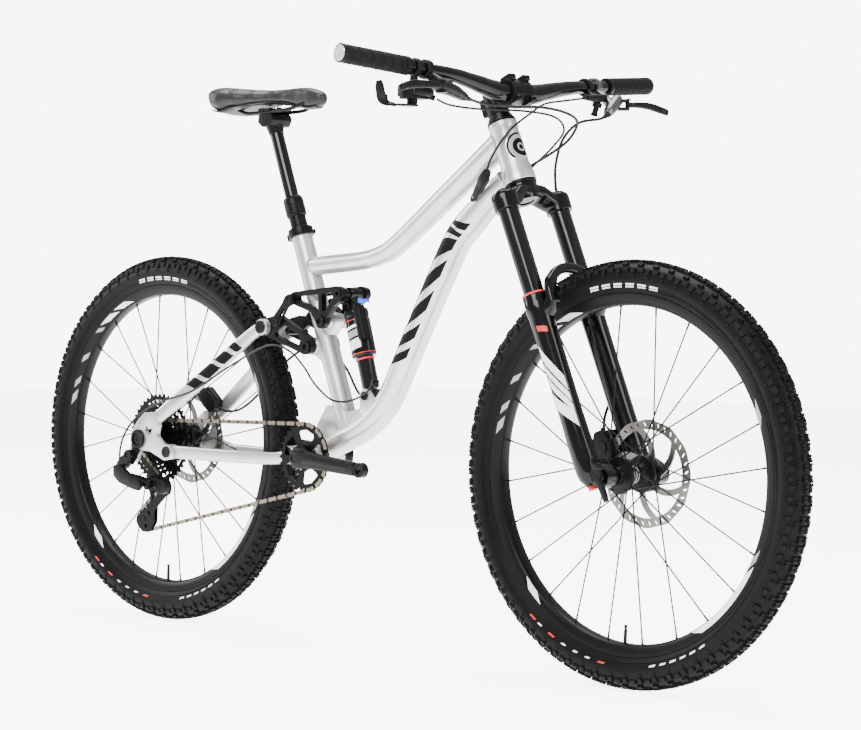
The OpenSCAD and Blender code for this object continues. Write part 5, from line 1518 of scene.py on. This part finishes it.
cut = rounded([(-187, 631.5), (-185, 625), (-148, 613.5), (-137, 603), (-131, 607), (-131, 637)], 4)
cut2 = rounded([(-121, 607), (-123, 637.5), (-97, 640.5), (-93, 632), (-101, 622), (-113, 605)], 4)
pair(m, arm, 24, 36, [cut, cut2, circle(ROCK, 6.1, 28)])
both(m, turned([(4.1, 12), (9, 12), (9, 24.5), (4.1, 24.5)], at(ROCK_FRONT, 0), E_Y, 32, True))
m.turned([(0.01, -24), (5.6, -24), (5.6, 24), (0.01, 24)], at((-112, 624), 0), E_Y, 28)
m.piece("rocker_plates", "rocker_arm", ANOD, "black_anodised", 32, 2.0, segments=3, hides=("rocker",))
m = Mesh()
for s in (-1, 1):
    m.turned([(0.01, 35), (3.2, 35), (3.2, 45), (0.01, 45)], at(ROCK_REAR, 0), (0, s, 0), 24)
    bolt(m, at(ROCK_FRONT, s * 36), (0, s, 0), 7.4, 3.2, 3.4, n=28)
m.turned([(0.01, -24), (3.2, -24), (3.2, 24), (0.01, 24)], at(ROCK_FRONT, 0), E_Y, 20)
m.piece("rocker_pins", "rocker_arm", BOLT, "black_anodised", 32)
m = Mesh()
strut = rounded([(-245, 577), (-233, 574), (-225, 582), (-206, 611), (-191, 618), (-189, 631), (-199, 637),
                 (-212, 631), (-220, 618),
                 (-245, 591)], [8, 8, 10, 8, 8, 8, 8, 8, 8, 8])
slotp = rounded([(-228, 592), (-222, 591), (-211, 608), (-214, 611)], 2.4)
pair(m, strut, 37.2, 43.3, [circle(STRUT, 5, 24), circle(ROCK_REAR, 5, 24), slotp])
m.piece("strut_plates", "struts", ANOD, "black_anodised", 32, 1.4, segments=3, hides=("link_struts",))
m = Mesh()
for p in (STRUT, ROCK_REAR):
    for s in (-1, 1):
        bolt(m, at(p, s * 43.3), (0, s, 0), 8.4, 2.6, 3.6, n=30)
m.piece("strut_bolts", "struts", BOLT, "black_anodised", 32)


# ---------------------------------------------------------------- shock
m = Mesh()
m.turned([(16.2, 72.4), (20.6, 72.4), (21.6, 73.2), (22.4, 75), (22.5, 80), (22.5, 140), (21.8, 142),
          (21.8, 146), (22.5, 148), (22.5, 155),
          (21, 159), (17, 161), (13, 162), (0.01, 162), (0.01, 147.5), (16.2, 147.5)], SHOCK_A, SHOCK_UP, 64)
m.sweep([shock(0, 0, 156), shock(0, 0, 168), shock(0, 0, 180), shock(0, 0, 186)],
        [(11, 11), (9.4, 10.8), (9.4, 10.8), (10.6, 10.8)],
        28, 6, side=(0, 1, 0), power=3.4)
m.turned([(8.3, -10.8), (11, -10.8), (12, -9.8), (12, 9.8), (11, 10.8), (8.3, 10.8)], shock(0, 0, SHOCK_LEN),
         E_Y, 44, True)
m.piece("shock_air_can", "shock_upper", PAINT, "black_paint", 32, hides=("shock_body",))
m = Mesh()
for r, w0, w1 in ((12, 101, 157), (10.4, 99, 161.4)):
    # the side toward the can follows the can's bore
    ring = [(x * max(1, 18.1 / math.hypot(x, y)), y * max(1, 18.1 / math.hypot(x, y))) for x,
            y in circle((17, -8), r, 44)]
    m.flat(ring, w0, w1, place=lambda x, y, z: shock(x, z, y))
m.sweep([shock(2, -4, 154), shock(10, -6, 155), shock(18, -8, 155.5)], [(9.4, 6.6), (9, 6.4), (8, 6)], 24, 5,
        side=tuple(SHOCK_UP), power=3)
m.piece("shock_reservoir", "shock_upper", ANOD, "black_anodised", 34)
m = Mesh()
for w in (77.5, 139.4):
    m.turned([(21.6, w - 1), (22.8, w - 0.7), (22.8, w + 0.7), (21.6, w + 1)], SHOCK_A, SHOCK_UP, 60, True)
m.piece("shock_can_rings", "shock_upper", REDSEAL, "red_anodised", 34)


def can_mark(m, w0, w1, middle, r=22.5):
    """A slightly slanted band on the air can, centred on the angle middle."""
    def place(u, v):
        a = math.radians(middle - 38 + 76 * v)
        w = w0 + (w1 - w0) * u + 4 * (v - 0.5)
        return [shock(g * math.cos(a), g * math.sin(a), w) for g in (r + 0.25, r - 0.4)]
    skin(m, 4, 9, place)


m = Mesh()
for c in (-90, 90):
    can_mark(m, 86, 104, c)
    can_mark(m, 124, 129, c)
m.piece("shock_light_marks", "shock_upper", WHITE, "black_paint", 60)
m = Mesh()
for c in (-90, 90):
    can_mark(m, 108, 120, c)
m.piece("shock_grey_marks", "shock_upper", GREY, "black_paint", 60)
m = Mesh()
m.turned([(0.01, 14), (15.6, 14), (15.6, 98), (0.01, 98)], SHOCK_A, SHOCK_UP, 56)
m.turned([(5.1, -10.8), (9.2, -10.8), (10, -10), (10, 10), (9.2, 10.8), (5.1, 10.8)], SHOCK_A, E_Y, 40, True)
m.sweep([shock(0, 0, 4), shock(0, 0, 10), shock(0, 0, 17)], [(8, 10.6), (8.2, 10.8), (12, 12.5)], 28, 5,
        side=(0, 1, 0), power=3.2)
m.piece("shock_shaft_and_eye", "shock_lower", STANCH, "black_anodised", 34, hides=("shock_shaft",))
m = Mesh()
m.turned([(15.6, 66), (17.2, 66), (17.6, 67), (17.6, 68.6), (17.2, 69.6), (15.6, 69.6)], SHOCK_A, SHOCK_UP,
         48, True)
m.piece("shock_travel_ring", "shock_lower", REDSEAL, "grip_rubber", 34)
m = Mesh()
kb = shock(23, -8, 166)
tilt = math.radians(24)
KU = SHOCK_UP * math.cos(tilt) + SHOCK_FWD * math.sin(tilt)
KF = SHOCK_FWD * math.cos(tilt) - SHOCK_UP * math.sin(tilt)
m.turned([(0.01, 0.2), (4.8, 0.2), (5.4, 1), (5.4, 8), (4.6, 9), (0.01, 9)], kb, KU, 32)
m.flat(rounded([(-5, -4.4), (20, -3.4), (23, 0), (20, 3.4), (-5, 4.4)], 2.4), 4.4, 9, place=lambda x, y,
       z: kb + KF * x + E_Y * z + KU * y)
m.piece("shock_mode_lever", "shock_dial", BLUE, "blue_anodised", 34, 0.8, hides=("shock_lever",))


# ---------------------------------------------------------------- drivetrain
PITCH, CHAIN_Y = 12.7, 48.5
RING_T, COG_T, PULLEY_T = 30, 18, 11
COGS = [10, 12, 14, 16, 18, 21, 24, 28, 32, 36, 42]


def pitch_r(n):
    """The pitch radius of a sprocket with n teeth."""
    return PITCH / (2 * math.sin(PI / n))


def toothed(c, n, turn, root=3.7, tip=2.2):
    """A sprocket's outline; turn is where a gap between two teeth is, in degrees."""
    r = pitch_r(n)
    out = []
    step = 360 / n
    for i in range(n):
        a = turn + step * i
        for f, rr in ((0.0, r - root), (0.16, r - root + 0.3), (0.30, r - 1.0), (0.42, r + tip - 0.4),
                      (0.5, r + tip), (0.58, r + tip - 0.4),
                      (0.70, r - 1.0), (0.84, r - root + 0.3)):
            out.append(polar(c, rr, a + step * f))
    return out


# the chain's line: circles it wraps, as (centre, radius, turn),
# turn 1 being anticlockwise seen from the right-hand side
CIRCLES = [(BB, pitch_r(RING_T), -1), (TENSION, pitch_r(PULLEY_T), -1), (GUIDE, pitch_r(PULLEY_T), 1),
           (REAR, pitch_r(COG_T), -1)]


def tangent(a, b):
    """The direction of travel from circle a to circle b, in radians."""
    dx, dz = b[0][0] - a[0][0], b[0][1] - a[0][1]
    return math.atan2(dz, dx) - math.asin((b[2] * b[1] - a[2] * a[1]) / math.hypot(dx, dz))


def leave(c, t):
    """The point where the chain leaves or meets circle c, going in direction t."""
    return c[0][0] + c[2] * c[1] * math.sin(t), c[0][1] - c[2] * c[1] * math.cos(t)


segments = []
for i in range(4):
    c0, c1, cp = CIRCLES[i], CIRCLES[(i + 1) % 4], CIRCLES[i - 1]
    t_in, t_out = tangent(cp, c0), tangent(c0, c1)
    span = (c0[2] * (t_out - t_in)) % (2 * PI)
    segments.append(("arc", c0, t_in, span, span * c0[1]))
    a, b = leave(c0, t_out), leave(c1, t_out)
    segments.append(("run", a, b, None, math.dist(a, b)))
chain_len = sum(s[4] for s in segments)


def chain_at(d):
    """The point at distance d along the chain, and which of the eight stretches it is in."""
    d %= chain_len
    for k, (kind, p, q, span, length) in enumerate(segments):
        if d <= length:
            if kind == "run":
                u = d / length
                return (p[0] + (q[0] - p[0]) * u, p[1] + (q[1] - p[1]) * u), k
            t = q + p[2] * span * d / length
            return (p[0][0] + p[2] * p[1] * math.sin(t), p[0][1] - p[2] * p[1] * math.cos(t)), k
        d -= length
    return chain_at(0)


links = 2 * round(chain_len / PITCH / 2)
step = chain_len / links
joints_at = [chain_at(step * i) for i in range(links)]


def plate_outline(a, b, r, waist):
    """A chain plate between pins a and b, with a narrower waist."""
    dx, dz = b[0] - a[0], b[1] - a[1]
    length = math.hypot(dx, dz)
    t = math.atan2(dz, dx)
    pts = []
    for g in range(-90, 91, 30):
        x, z = length / 2 + r * math.cos(math.radians(g)), r * math.sin(math.radians(g))
        pts.append((x, z))
    pts.append((0, waist))
    for g in range(90, 271, 30):
        pts.append((-length / 2 + r * math.cos(math.radians(g)), r * math.sin(math.radians(g))))
    pts.append((0, -waist))
    cx, cz = (a[0] + b[0]) / 2, (a[1] + b[1]) / 2
    return [(cx + x * math.cos(t) - z * math.sin(t), cz + x * math.sin(t) + z * math.cos(t)) for x, z in pts]


# which part of the chain goes with which piece
parts = {}


def part_of(p, k):
    if k == 0:
        return "ring_wrap"
    if k in (2, 3, 4):
        return "cage_wrap"
    if k == 5:
        a, b = segments[5][1], segments[5][2]
        return ("rise_a", "rise_b", "rise_c")[min(2, int(3 * math.dist(a, p) / math.dist(a, b)))]
    if k == 6:
        return "cog_wrap"
    if k == 7:
        return "upper_rear" if p[0] < HORST[0] else "upper_run"
    x = p[0]
    for name, limit in (("lower_run_a", -540), ("lower_run_b", -500), ("lower_run_c", -460),
                        ("lower_run_d", -400)):
        if x < limit:
            return name
    return "lower_run"


for i in range(links):
    a, b = joints_at[i][0], joints_at[(i + 1) % links][0]
    mid = ((a[0] + b[0]) / 2, (a[1] + b[1]) / 2)
    key = part_of(mid, chain_at(step * (i + 0.5))[1])
    outer, inner = parts.setdefault(key, (Mesh(), Mesh()))
    # outer links carry the pins, inner links the rollers:
    # plate's inner and outer face, waist, then the pin's radius and half length
    mesh, near, far, waist, r, reach, n = (outer, 1.75, 2.6, 2.9, 1.6, 2.75, 8) if i % 2 else (inner, 1.0,
                                                                                               1.7, 2.7, 3.3,
                                                                                               1.05, 10)
    for y0, y1 in ((-CHAIN_Y - far, -CHAIN_Y - near), (-CHAIN_Y + near, -CHAIN_Y + far)):
        mesh.flat(plate_outline(a, b, 3.9, waist), y0, y1)
    for p in (a, b):
        mesh.turned([(0.01, -reach), (r, -reach), (r, reach), (0.01, reach)], at(p, -CHAIN_Y), E_Y, n)
rise = [tuple(a + (b - a) * k / 3 for a, b in zip(segments[5][1], segments[5][2])) for k in range(4)]
BENDS = {"ring_wrap": "frame", "cage_wrap": "cage", "cog_wrap": "stays",
         "rise_a": ("cage", "derailleur_body", rise[0], rise[1]),
         "rise_b": ("derailleur_body", "derailleur_link", rise[1], rise[2]),
         "rise_c": ("derailleur_link", "stays", rise[2], rise[3]),
         "upper_run": ("frame", "swingarm", (-160, 401), (-480, 392)),
         "upper_rear": ("swingarm", "stays", (-498, 391), (-570, 389)),
         "lower_run_a": ("cage", "derailleur_body", (-568, 177), (-540, 184)),
         "lower_run_b": ("derailleur_body", "derailleur_link", (-540, 184), (-500, 193)),
         "lower_run_c": ("derailleur_link", "stays", (-500, 193), (-460, 203)),
         "lower_run_d": ("stays", "swingarm", (-460, 203), (-400, 217)),
         "lower_run": ("swingarm", "frame", (-400, 217), (-160, 278))}
for key, meshes in parts.items():
    for tag, mesh, mat in (("outer", meshes[0], CHAIN_OUT), ("inner", meshes[1], CHAIN_IN)):
        if not mesh.v:
            continue
        go = BENDS[key]
        o = mesh.piece(f"chain_{key}_{tag}", go if isinstance(go, str) else None, mat, "chain_steel", 40,
                       hides=("chain",))
        if not isinstance(go, str):
            y = -CHAIN_Y * 0.001
            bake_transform(o)


def phase_on(c, k):
    """The angle of one chain pin that lies on stretch k's circle."""
    for p, kk in joints_at:
        if kk == k:
            return math.degrees(math.atan2(p[1] - c[1], p[0] - c[0]))
    return 0


m = Mesh()
ring_holes = [circle(BB, 17.2, 48)]
for i in range(5):
    g = 8 + 72 * i
    ring_holes.append(rounded([polar(BB, 27, g - 22), polar(BB, 50, g - 27), polar(BB, 50.5, g),
                               polar(BB, 50, g + 27), polar(BB, 27, g + 22)], 5))
m.flat(toothed(BB, RING_T, phase_on(BB, 0), 3.9, 2.4), -CHAIN_Y - 1.7, -CHAIN_Y + 1.7, ring_holes)
m.piece("chainring_plate", "crank", COG, "black_anodised", 32, hides=("chainring",))
m = Mesh()
for k, n in enumerate(COGS):
    y = -(CHAIN_Y + 4 * 3.75 - 3.75 * k)
    r = pitch_r(n)
    holes = [circle(REAR, 10.4 if k < 5 else 17, 36)]
    turn = phase_on(REAR, 6) if n == COG_T else 7 * k
    if n >= 24:
        for i in range(6):
            g = 60 * i + 10 + 3 * k
            holes.append(rounded([polar(REAR, r * 0.48, g - 20), polar(REAR, r - 10, g - 24),
                                  polar(REAR, r - 9.4, g), polar(REAR, r - 10, g + 22),
                                  polar(REAR, r * 0.5, g + 8)], 4))
    m.flat(toothed(REAR, n, turn, 3.8, 2.0 if n != COG_T else 1.8), y - 0.85, y + 0.85, holes)
m.turned([(10.4, -65.4), (16.6, -65.4), (17.4, -64.6), (17.4, -26), (10.4, -26)], at(REAR, 0), E_Y, 44, True)
m.piece("sprockets", "sprockets", COG, "black_steel", 32, hides=("cassette",))
m = Mesh()
m.turned([(10.6, -66), (15, -66), (16.4, -65.2), (16.4, -64.2), (10.6, -64.2)], at(REAR, 0), E_Y, 40, True)
m.piece("lock_ring", "sprockets", SILVER, "silver_aluminium", 32)

DROP = math.radians(4)
CR_X = Vector((math.cos(DROP), 0, -math.sin(DROP)))
CR_Z = Vector((math.sin(DROP), 0, math.cos(DROP)))
BB_V = at(BB, 0)
LEAN = math.tan(math.radians(2.5))


def crank(s, x, y, z):
    """A point of the right crank arm, s 1, or the left one, s -1; y is measured outward."""
    return BB_V + CR_X * (s * x) + E_Y * (-s * y) + CR_Z * z


m = Mesh()
n = Mesh()
for s, root in ((1, 62), (-1, 56)):
    pts, rad = [], []
    for x, rz, ry in ((-12, 12, 4.6), (0, 19.5, 6.4), (14, 19, 6.6), (34, 15.6, 6.5), (70, 14.2, 6.3),
                      (110, 13.4, 6.2), (145, 12.8, 6.2), (159, 12.4, 6.2)):
        pts.append(tuple(crank(s, x, root + 6.5 + x * LEAN, 0)))
        rad.append((rz, ry))
    m.sweep(pts, rad, 36, 8, side=(0, 1, 0), power=3.6)
    # pedal eye with its threaded hole
    o = crank(s, 172.5, 0, 0)
    out = Vector((0, -s, 0))
    y0, y1 = 67, 82.5
    m.turned([(7.05, y0), (12.4, y0), (13.5, y0 + 1), (13.5, y1 - 1), (12.4, y1), (7.6, y1),
              (7.05, y1 - 0.6)], o, out, 48, True)
    # spindle boss and its bolt
    b0, b1 = (47, 62) if s > 0 else (46.4, 56)
    m.turned([(12.2, b0), (16.8, b0), (20, b0 + 4), (20.4, b1 + 2), (12.2, b1 + 2)], BB_V, out, 48, True)
    n.turned([(0.01, root + 10), (6, root + 10), (6, root + 13.2), (9.8, root + 13.2), (10.6, root + 12.6),
              (10.6, root + 9), (0.01, root + 9)],
             BB_V, out, 36)
    # raised light panel along the outer face
    panel = rounded([(24, -8), (52, -6.4), (140, -4.8), (148, 0), (140, 4.8), (52, 6.4), (24, 8)], 4)
    n.flat(panel, 12.5, 13.0, place=lambda x, y, z: crank(s, x, root + y + x * LEAN, z))
m.turned([(0.01, -58), (11.9, -58), (11.9, 47), (0.01, 47)], BB_V, (0, -1, 0), 36)
m.piece("crank_forgings", "crank", RIM, "black_anodised", 34, hides=("crank_arms",))
n.piece("crank_bolts_and_panels", "crank", BOLT, "black_anodised", 32, 0.3)
m = Mesh()
for i in range(3):
    g = 20 + 120 * i
    p = polar(BB, 20.5, g)
    bolt(m, at(p, -51.4), (0, -1, 0), 3, 1.6, 1.5)
m.piece("chainring_bolts", "crank", CHROME, "black_steel", 32)

# rear derailleur
m = Mesh()
m.turned([(0.01, -80), (4.8, -80), (4.8, -71), (0.01, -71)], at(HANGER, 0), E_Y, 24)
m.turned([(0.01, 80), (10.2, 80), (11, 80.8), (11, 94.4), (9.6, 96), (5.4, 96), (4.4, 93.6), (0.01, 93.6)],
         at(HANGER, 0), (0, -1, 0), 40)
m.flat(rounded([(-603, 321), (-592, 331), (-580, 320), (-591, 305), (-602, 294), (-619, 292), (-623, 304),
                (-613, 315)], 5), -94, -81)
m.turned([(12.2, 80.6), (17.6, 80.6), (18.4, 81.4), (18.4, 84.2), (17.4, 85.4), (12.2, 85.4)], at(REAR, 0),
         (0, -1, 0), 44, True)
m.flat(rounded([(-592.5, 349), (-590, 334), (-596, 324), (-604, 310), (-588, 301), (-576, 318), (-566, 332),
                (-580, 333)], 3), -84, -81)
m.piece("derailleur_mount", "stays", ANOD, "black_anodised", 34, 1.8, segments=3,
        hides=("derailleur_hanger",))
m = Mesh()
LA, LB = Vector((-608, -86, 290)), Vector((-546, -80, 268))
PIN = Vector((0.33441, 0, 0.942428))
m.sweep([LA + Vector((-4, -13.4, -7)), LA + Vector((8, -13.6, -9)), LA.lerp(LB, 0.6) + Vector((0, -9, -3)),
         LB + Vector((-3, -4, -1)), LB + Vector((4, -0.5, -1.5))],
        [(6, 3.4), (8.2, 4.6), (7.4, 4.8), (6.6, 5), (5.4, 5)], 28, 8, side=(0, 1, 0), power=2.8)
m.sweep([LA + Vector((6, 12.5, -10)), LA.lerp(LB, 0.5) + Vector((0, 15, -4)), LB + Vector((-10, 16, 1))],
        [(4.4, 3.6), (4.8, 3.2), (4.6, 3.6)], 24, 6, side=(0, 1, 0), power=2.8)
m.turned([(0.01, -9), (2.9, -9), (2.9, 11), (0.01, 11)], LA, PIN, 24)
m.turned([(3, -7.4), (5.4, -7.4), (5.8, -7), (5.8, 7), (5.4, 7.4), (3, 7.4)], LB, PIN, 28, True)
m.flat(rounded([(-621, 296), (-606, 303), (-588, 294), (-566, 281), (-545, 276), (-538, 264), (-548, 255),
                (-574, 260),
                (-604, 268), (-620, 280)], 7), -104.5, -97.4)
m.piece("derailleur_link_arms", "derailleur_link", ANOD, "black_anodised", 34, 1.2,
        hides=("derailleur_links",), bevel_angle=60)
m = Mesh()
m.turned([(0.01, 57.4), (12.8, 57.4), (14.2, 58.8), (14.2, 72), (12.4, 74), (7, 74), (6, 72.6), (0.01, 72.6)],
         at(KNUCKLE, 0), (0, -1, 0), 44)
m.sweep([(-552, -70, 268), (-543, -68, 269), (-532, -67, 268), (-522, -67, 266)],
        [(8.6, 7), (9, 6.4), (10.5, 6.2), (10.5, 5.4)], 28, 7,
        side=(0, 1, 0), power=2.8)
m.turned([(0.01, -10.6), (5.2, -10.6), (5.6, -10.2), (5.6, -7.6), (2.8, -7.6), (2.8, 7.6), (5.6, 7.6),
          (5.6, 10.2), (5.2, 10.6),
          (0.01, 10.6)], LB, PIN, 28)
m.sweep([LB + PIN * 9 + Vector((0, 2, 0)), LB + PIN * 10 + Vector((8, 12, -3))], [(1.4, 4.6)] * 2, 16, 2,
        side=(1, 0, 0), power=3)
m.sweep([LB - PIN * 9 + Vector((2, 2, 0)), LB - PIN * 5 + Vector((12, 11, 2))], [(1.4, 4.6)] * 2, 16, 2,
        side=(1, 0, 0), power=3)
m.piece("derailleur_clutch_body", "derailleur_body", PLASTIC, "black_plastic", 34,
        hides=("derailleur_knuckle",))
cage_out = rounded([(-507, 263), (-510, 250), (-524, 243), (-541, 228), (-557, 216), (-555, 192), (-570, 172),
                    (-590, 171), (-609, 187),
                    (-608, 201), (-595, 207), (-578, 219), (-566, 236), (-577, 262), (-572, 281), (-556, 283),
                    (-526, 277), (-512, 275)],
                   [6, 8, 10, 12, 12, 12, 12, 12, 10, 8, 8, 12, 14, 12, 8, 8, 10, 8])
cage_in = rounded([(-550, 262), (-548, 246), (-558, 226), (-560, 190), (-573, 175), (-589, 174), (-603, 188),
                   (-602, 203), (-586, 217),
                   (-574, 240), (-578, 264), (-570, 279), (-556, 279)], 9)
m = Mesh()
m.flat(cage_out, -54.6, -52.6, [rounded([(-548, 250), (-553, 238), (-560, 232), (-566, 246), (-560, 252)], 4),
                                circle((-580, 183), 4, 20),
                                rounded([(-570, 212), (-566, 204), (-572, 206), (-578, 212)], 2)])
m.flat(cage_in, -44.4, -42.6, [rounded([(-562, 250), (-556, 240), (-566, 222), (-570, 236)], 4)])
for p in (GUIDE, TENSION):
    m.turned([(0.01, 56.2), (3.8, 56.2), (4.8, 55.4), (4.8, 54.6), (3.3, 54.6), (3.3, 43), (0.01, 43)],
             at(p, 0), (0, -1, 0), 24)
m.turned([(0.01, 52.8), (5.8, 52.8), (5.8, 61.4), (0.01, 61.4)], at(KNUCKLE, 0), (0, -1, 0), 28)
m.piece("cage_plates", "cage", COG, "black_steel", 32, 0.35, segments=1, hides=("derailleur_cage",))
for c, name, body, k in ((GUIDE, "guide_wheel", "guide_wheel", 4),
                         (TENSION, "tension_wheel", "tension_wheel", 2)):
    hidden = "upper_pulley" if c is GUIDE else "lower_pulley"
    m = Mesh()
    holes = [circle(c, 3.6, 20)] + [circle(polar(c, 10.6, 60 * i), 2.6, 14) for i in range(6)]
    m.flat(toothed(c, PULLEY_T, phase_on(c, k), 3.9, 1.9), -CHAIN_Y - 1.0, -CHAIN_Y + 1.0, holes)
    m.turned([(3.6, -1.5), (6.6, -1.5), (6.6, 1.5), (3.6, 1.5)], at(c, -CHAIN_Y), E_Y, 28, True)
    m.piece(name + "_teeth", body, PLASTIC, "black_plastic", 32, hides=(hidden,))


# ---------------------------------------------------------------- saddle
def saddle_section(t):
    """Half width, top, edge and underside heights at t, from 0 at the nose to 1 at the tail."""
    keys = [(0.0, 8, 1001, 993, 985), (0.04, 14, 1008, 997, 978.5), (0.12, 18, 1012, 999.5, 975),
            (0.22, 20, 1012.4, 999, 979.5),
            (0.35, 23.5, 1011.4, 998, 986), (0.48, 30, 1010.6, 997.4, 988.6), (0.62, 45, 1012, 998, 985),
            (0.76, 60, 1015, 999.6, 979), (0.88, 66.5, 1018, 1001, 971.5), (0.95, 64.6, 1019.4, 1003, 975),
            (1.0, 56, 1018, 1006, 992)]
    for a, b in zip(keys, keys[1:]):
        if t <= b[0]:
            u = (t - a[0]) / (b[0] - a[0])
            u = u * u * (3 - 2 * u)
            return [p + (q - p) * u for p, q in zip(a[1:], b[1:])]
    return keys[-1][1:]


SADDLE_NOSE, SADDLE_LEN = -156.5, 265.5
SADDLE_TOP, SADDLE_LOW = 1.0215, 0.9690      # metres: the pad keeps between these
m = Mesh()
rows, cols = 44, 36
verts = []
for i in range(rows + 1):
    t = i / rows
    w, top, edge, under = saddle_section(t)
    x = SADDLE_NOSE - SADDLE_LEN * t
    for j in range(cols):
        a = 2 * PI * j / cols
        c, s = math.cos(a), math.sin(a)
        y = w * math.copysign(abs(c) ** 0.8, c)
        # crowned above, drawn in below; the tail is a little hollow along its middle
        z = edge + (top - edge) * s ** 0.75 if s > 0 else edge + (under - edge) * abs(s) ** 0.55
        if s > 0:
            z -= 1.8 * math.exp(-(y / 8) ** 2) * max(0, math.sin(PI * min(1, max(0, (t - 0.25) / 0.75))))
        verts.append((x + 2.5 * t * abs(c), y, z))
faces = []
for i in range(rows):
    for j in range(cols):
        a, b = i * cols + j, i * cols + (j + 1) % cols
        faces.append((a, b, b + cols, a + cols))
faces += [tuple(range(cols)), tuple(rows * cols + j for j in range(cols - 1, -1, -1))]
m.add(verts, faces)
pad = m.piece("saddle_pad", None, COVER, "saddle_cover", 60)
remesh = pad.modifiers.new("remesh", "REMESH")
remesh.mode = "VOXEL"
remesh.voxel_size = 0.004


def bake(o):
    """Puts the modifiers' result into the object's own mesh."""
    bpy.context.view_layer.update()
    dg = bpy.context.evaluated_depsgraph_get()
    me = bpy.data.meshes.new_from_object(o.evaluated_get(dg), depsgraph=dg)
    o.modifiers.clear()
    o.data = me


bake(pad)
rest = [v.co.copy() for v in pad.data.vertices]
cloth = pad.modifiers.new("cloth", "CLOTH")
cs = cloth.settings
cs.use_pressure = True
cs.uniform_pressure_force = 4
cs.effector_weights.gravity = 0
cs.quality = 5
cs.tension_stiffness = 25
cloth.point_cache.frame_start, cloth.point_cache.frame_end = 1, 20
for f in range(1, 21):
    scene.frame_set(f)
bake(pad)
scene.frame_set(1)
for v, r in zip(pad.data.vertices, rest):
    d = v.co - r
    if d.length > 0.003:
        v.co = r + d.normalized() * 0.003
for v in pad.data.vertices:
    v.co.z = max(min(v.co.z, SADDLE_TOP), SADDLE_LOW)
for p in pad.data.polygons:
    p.use_smooth = True
if not pad.data.materials:
    pad.data.materials.append(COVER)
md = pad.modifiers.new("smooth", "SUBSURF")
md.levels = md.render_levels = 1
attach(pad, "saddle_post")
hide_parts("saddle")
# the shell under the pad
m = Mesh()


def shell_point(v, u):
    t = 0.06 + 0.9 * u
    w, top, edge, under = saddle_section(t)
    g = v * 2 - 1
    x, y, z = SADDLE_NOSE - SADDLE_LEN * t, g * w * 0.86, under + 0.6 + 2.2 * g * g
    return (x, y, z), (x, y * 0.97, z - 1.6)


skin(m, 8, 24, shell_point)
m.piece("saddle_shell", "saddle_post", PLASTIC, "black_plastic", 40)


# ---------------------------------------------------------------- carried CAD nodes
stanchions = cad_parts["fork_stanchions"]
stanchions.data.materials.clear()
stanchions.data.materials.append(STANCH)


# ---------------------------------------------------------------- floor
floor_mat = make("studio_floor", (0.93, 0.94, 0.95), 0.7, 0, 0.012, 2, 60, 0.0)
glow = floor_mat.node_tree.nodes["Principled BSDF"]
glow.inputs["Emission Color"].default_value = (1, 1, 1, 1)
floor_nodes, floor_links = floor_mat.node_tree.nodes, floor_mat.node_tree.links
seen = floor_nodes.new("ShaderNodeMath")
seen.operation = "MULTIPLY_ADD"
seen.inputs[1].default_value = 3.4
seen.inputs[2].default_value = 2.4
floor_links.new(floor_nodes.new("ShaderNodeLightPath").outputs["Is Camera Ray"], seen.inputs[0])
floor_links.new(seen.outputs[0], glow.inputs["Emission Strength"])
me = bpy.data.meshes.new("floor")
me.from_pydata([(-9, -9, -0.0005), (9, -9, -0.0005), (9, 9, -0.0005), (-9, 9, -0.0005)], [], [(0, 1, 2, 3)])
me.materials.append(floor_mat)
floor = bpy.data.objects.new("floor", me)
scene.collection.objects.link(floor)
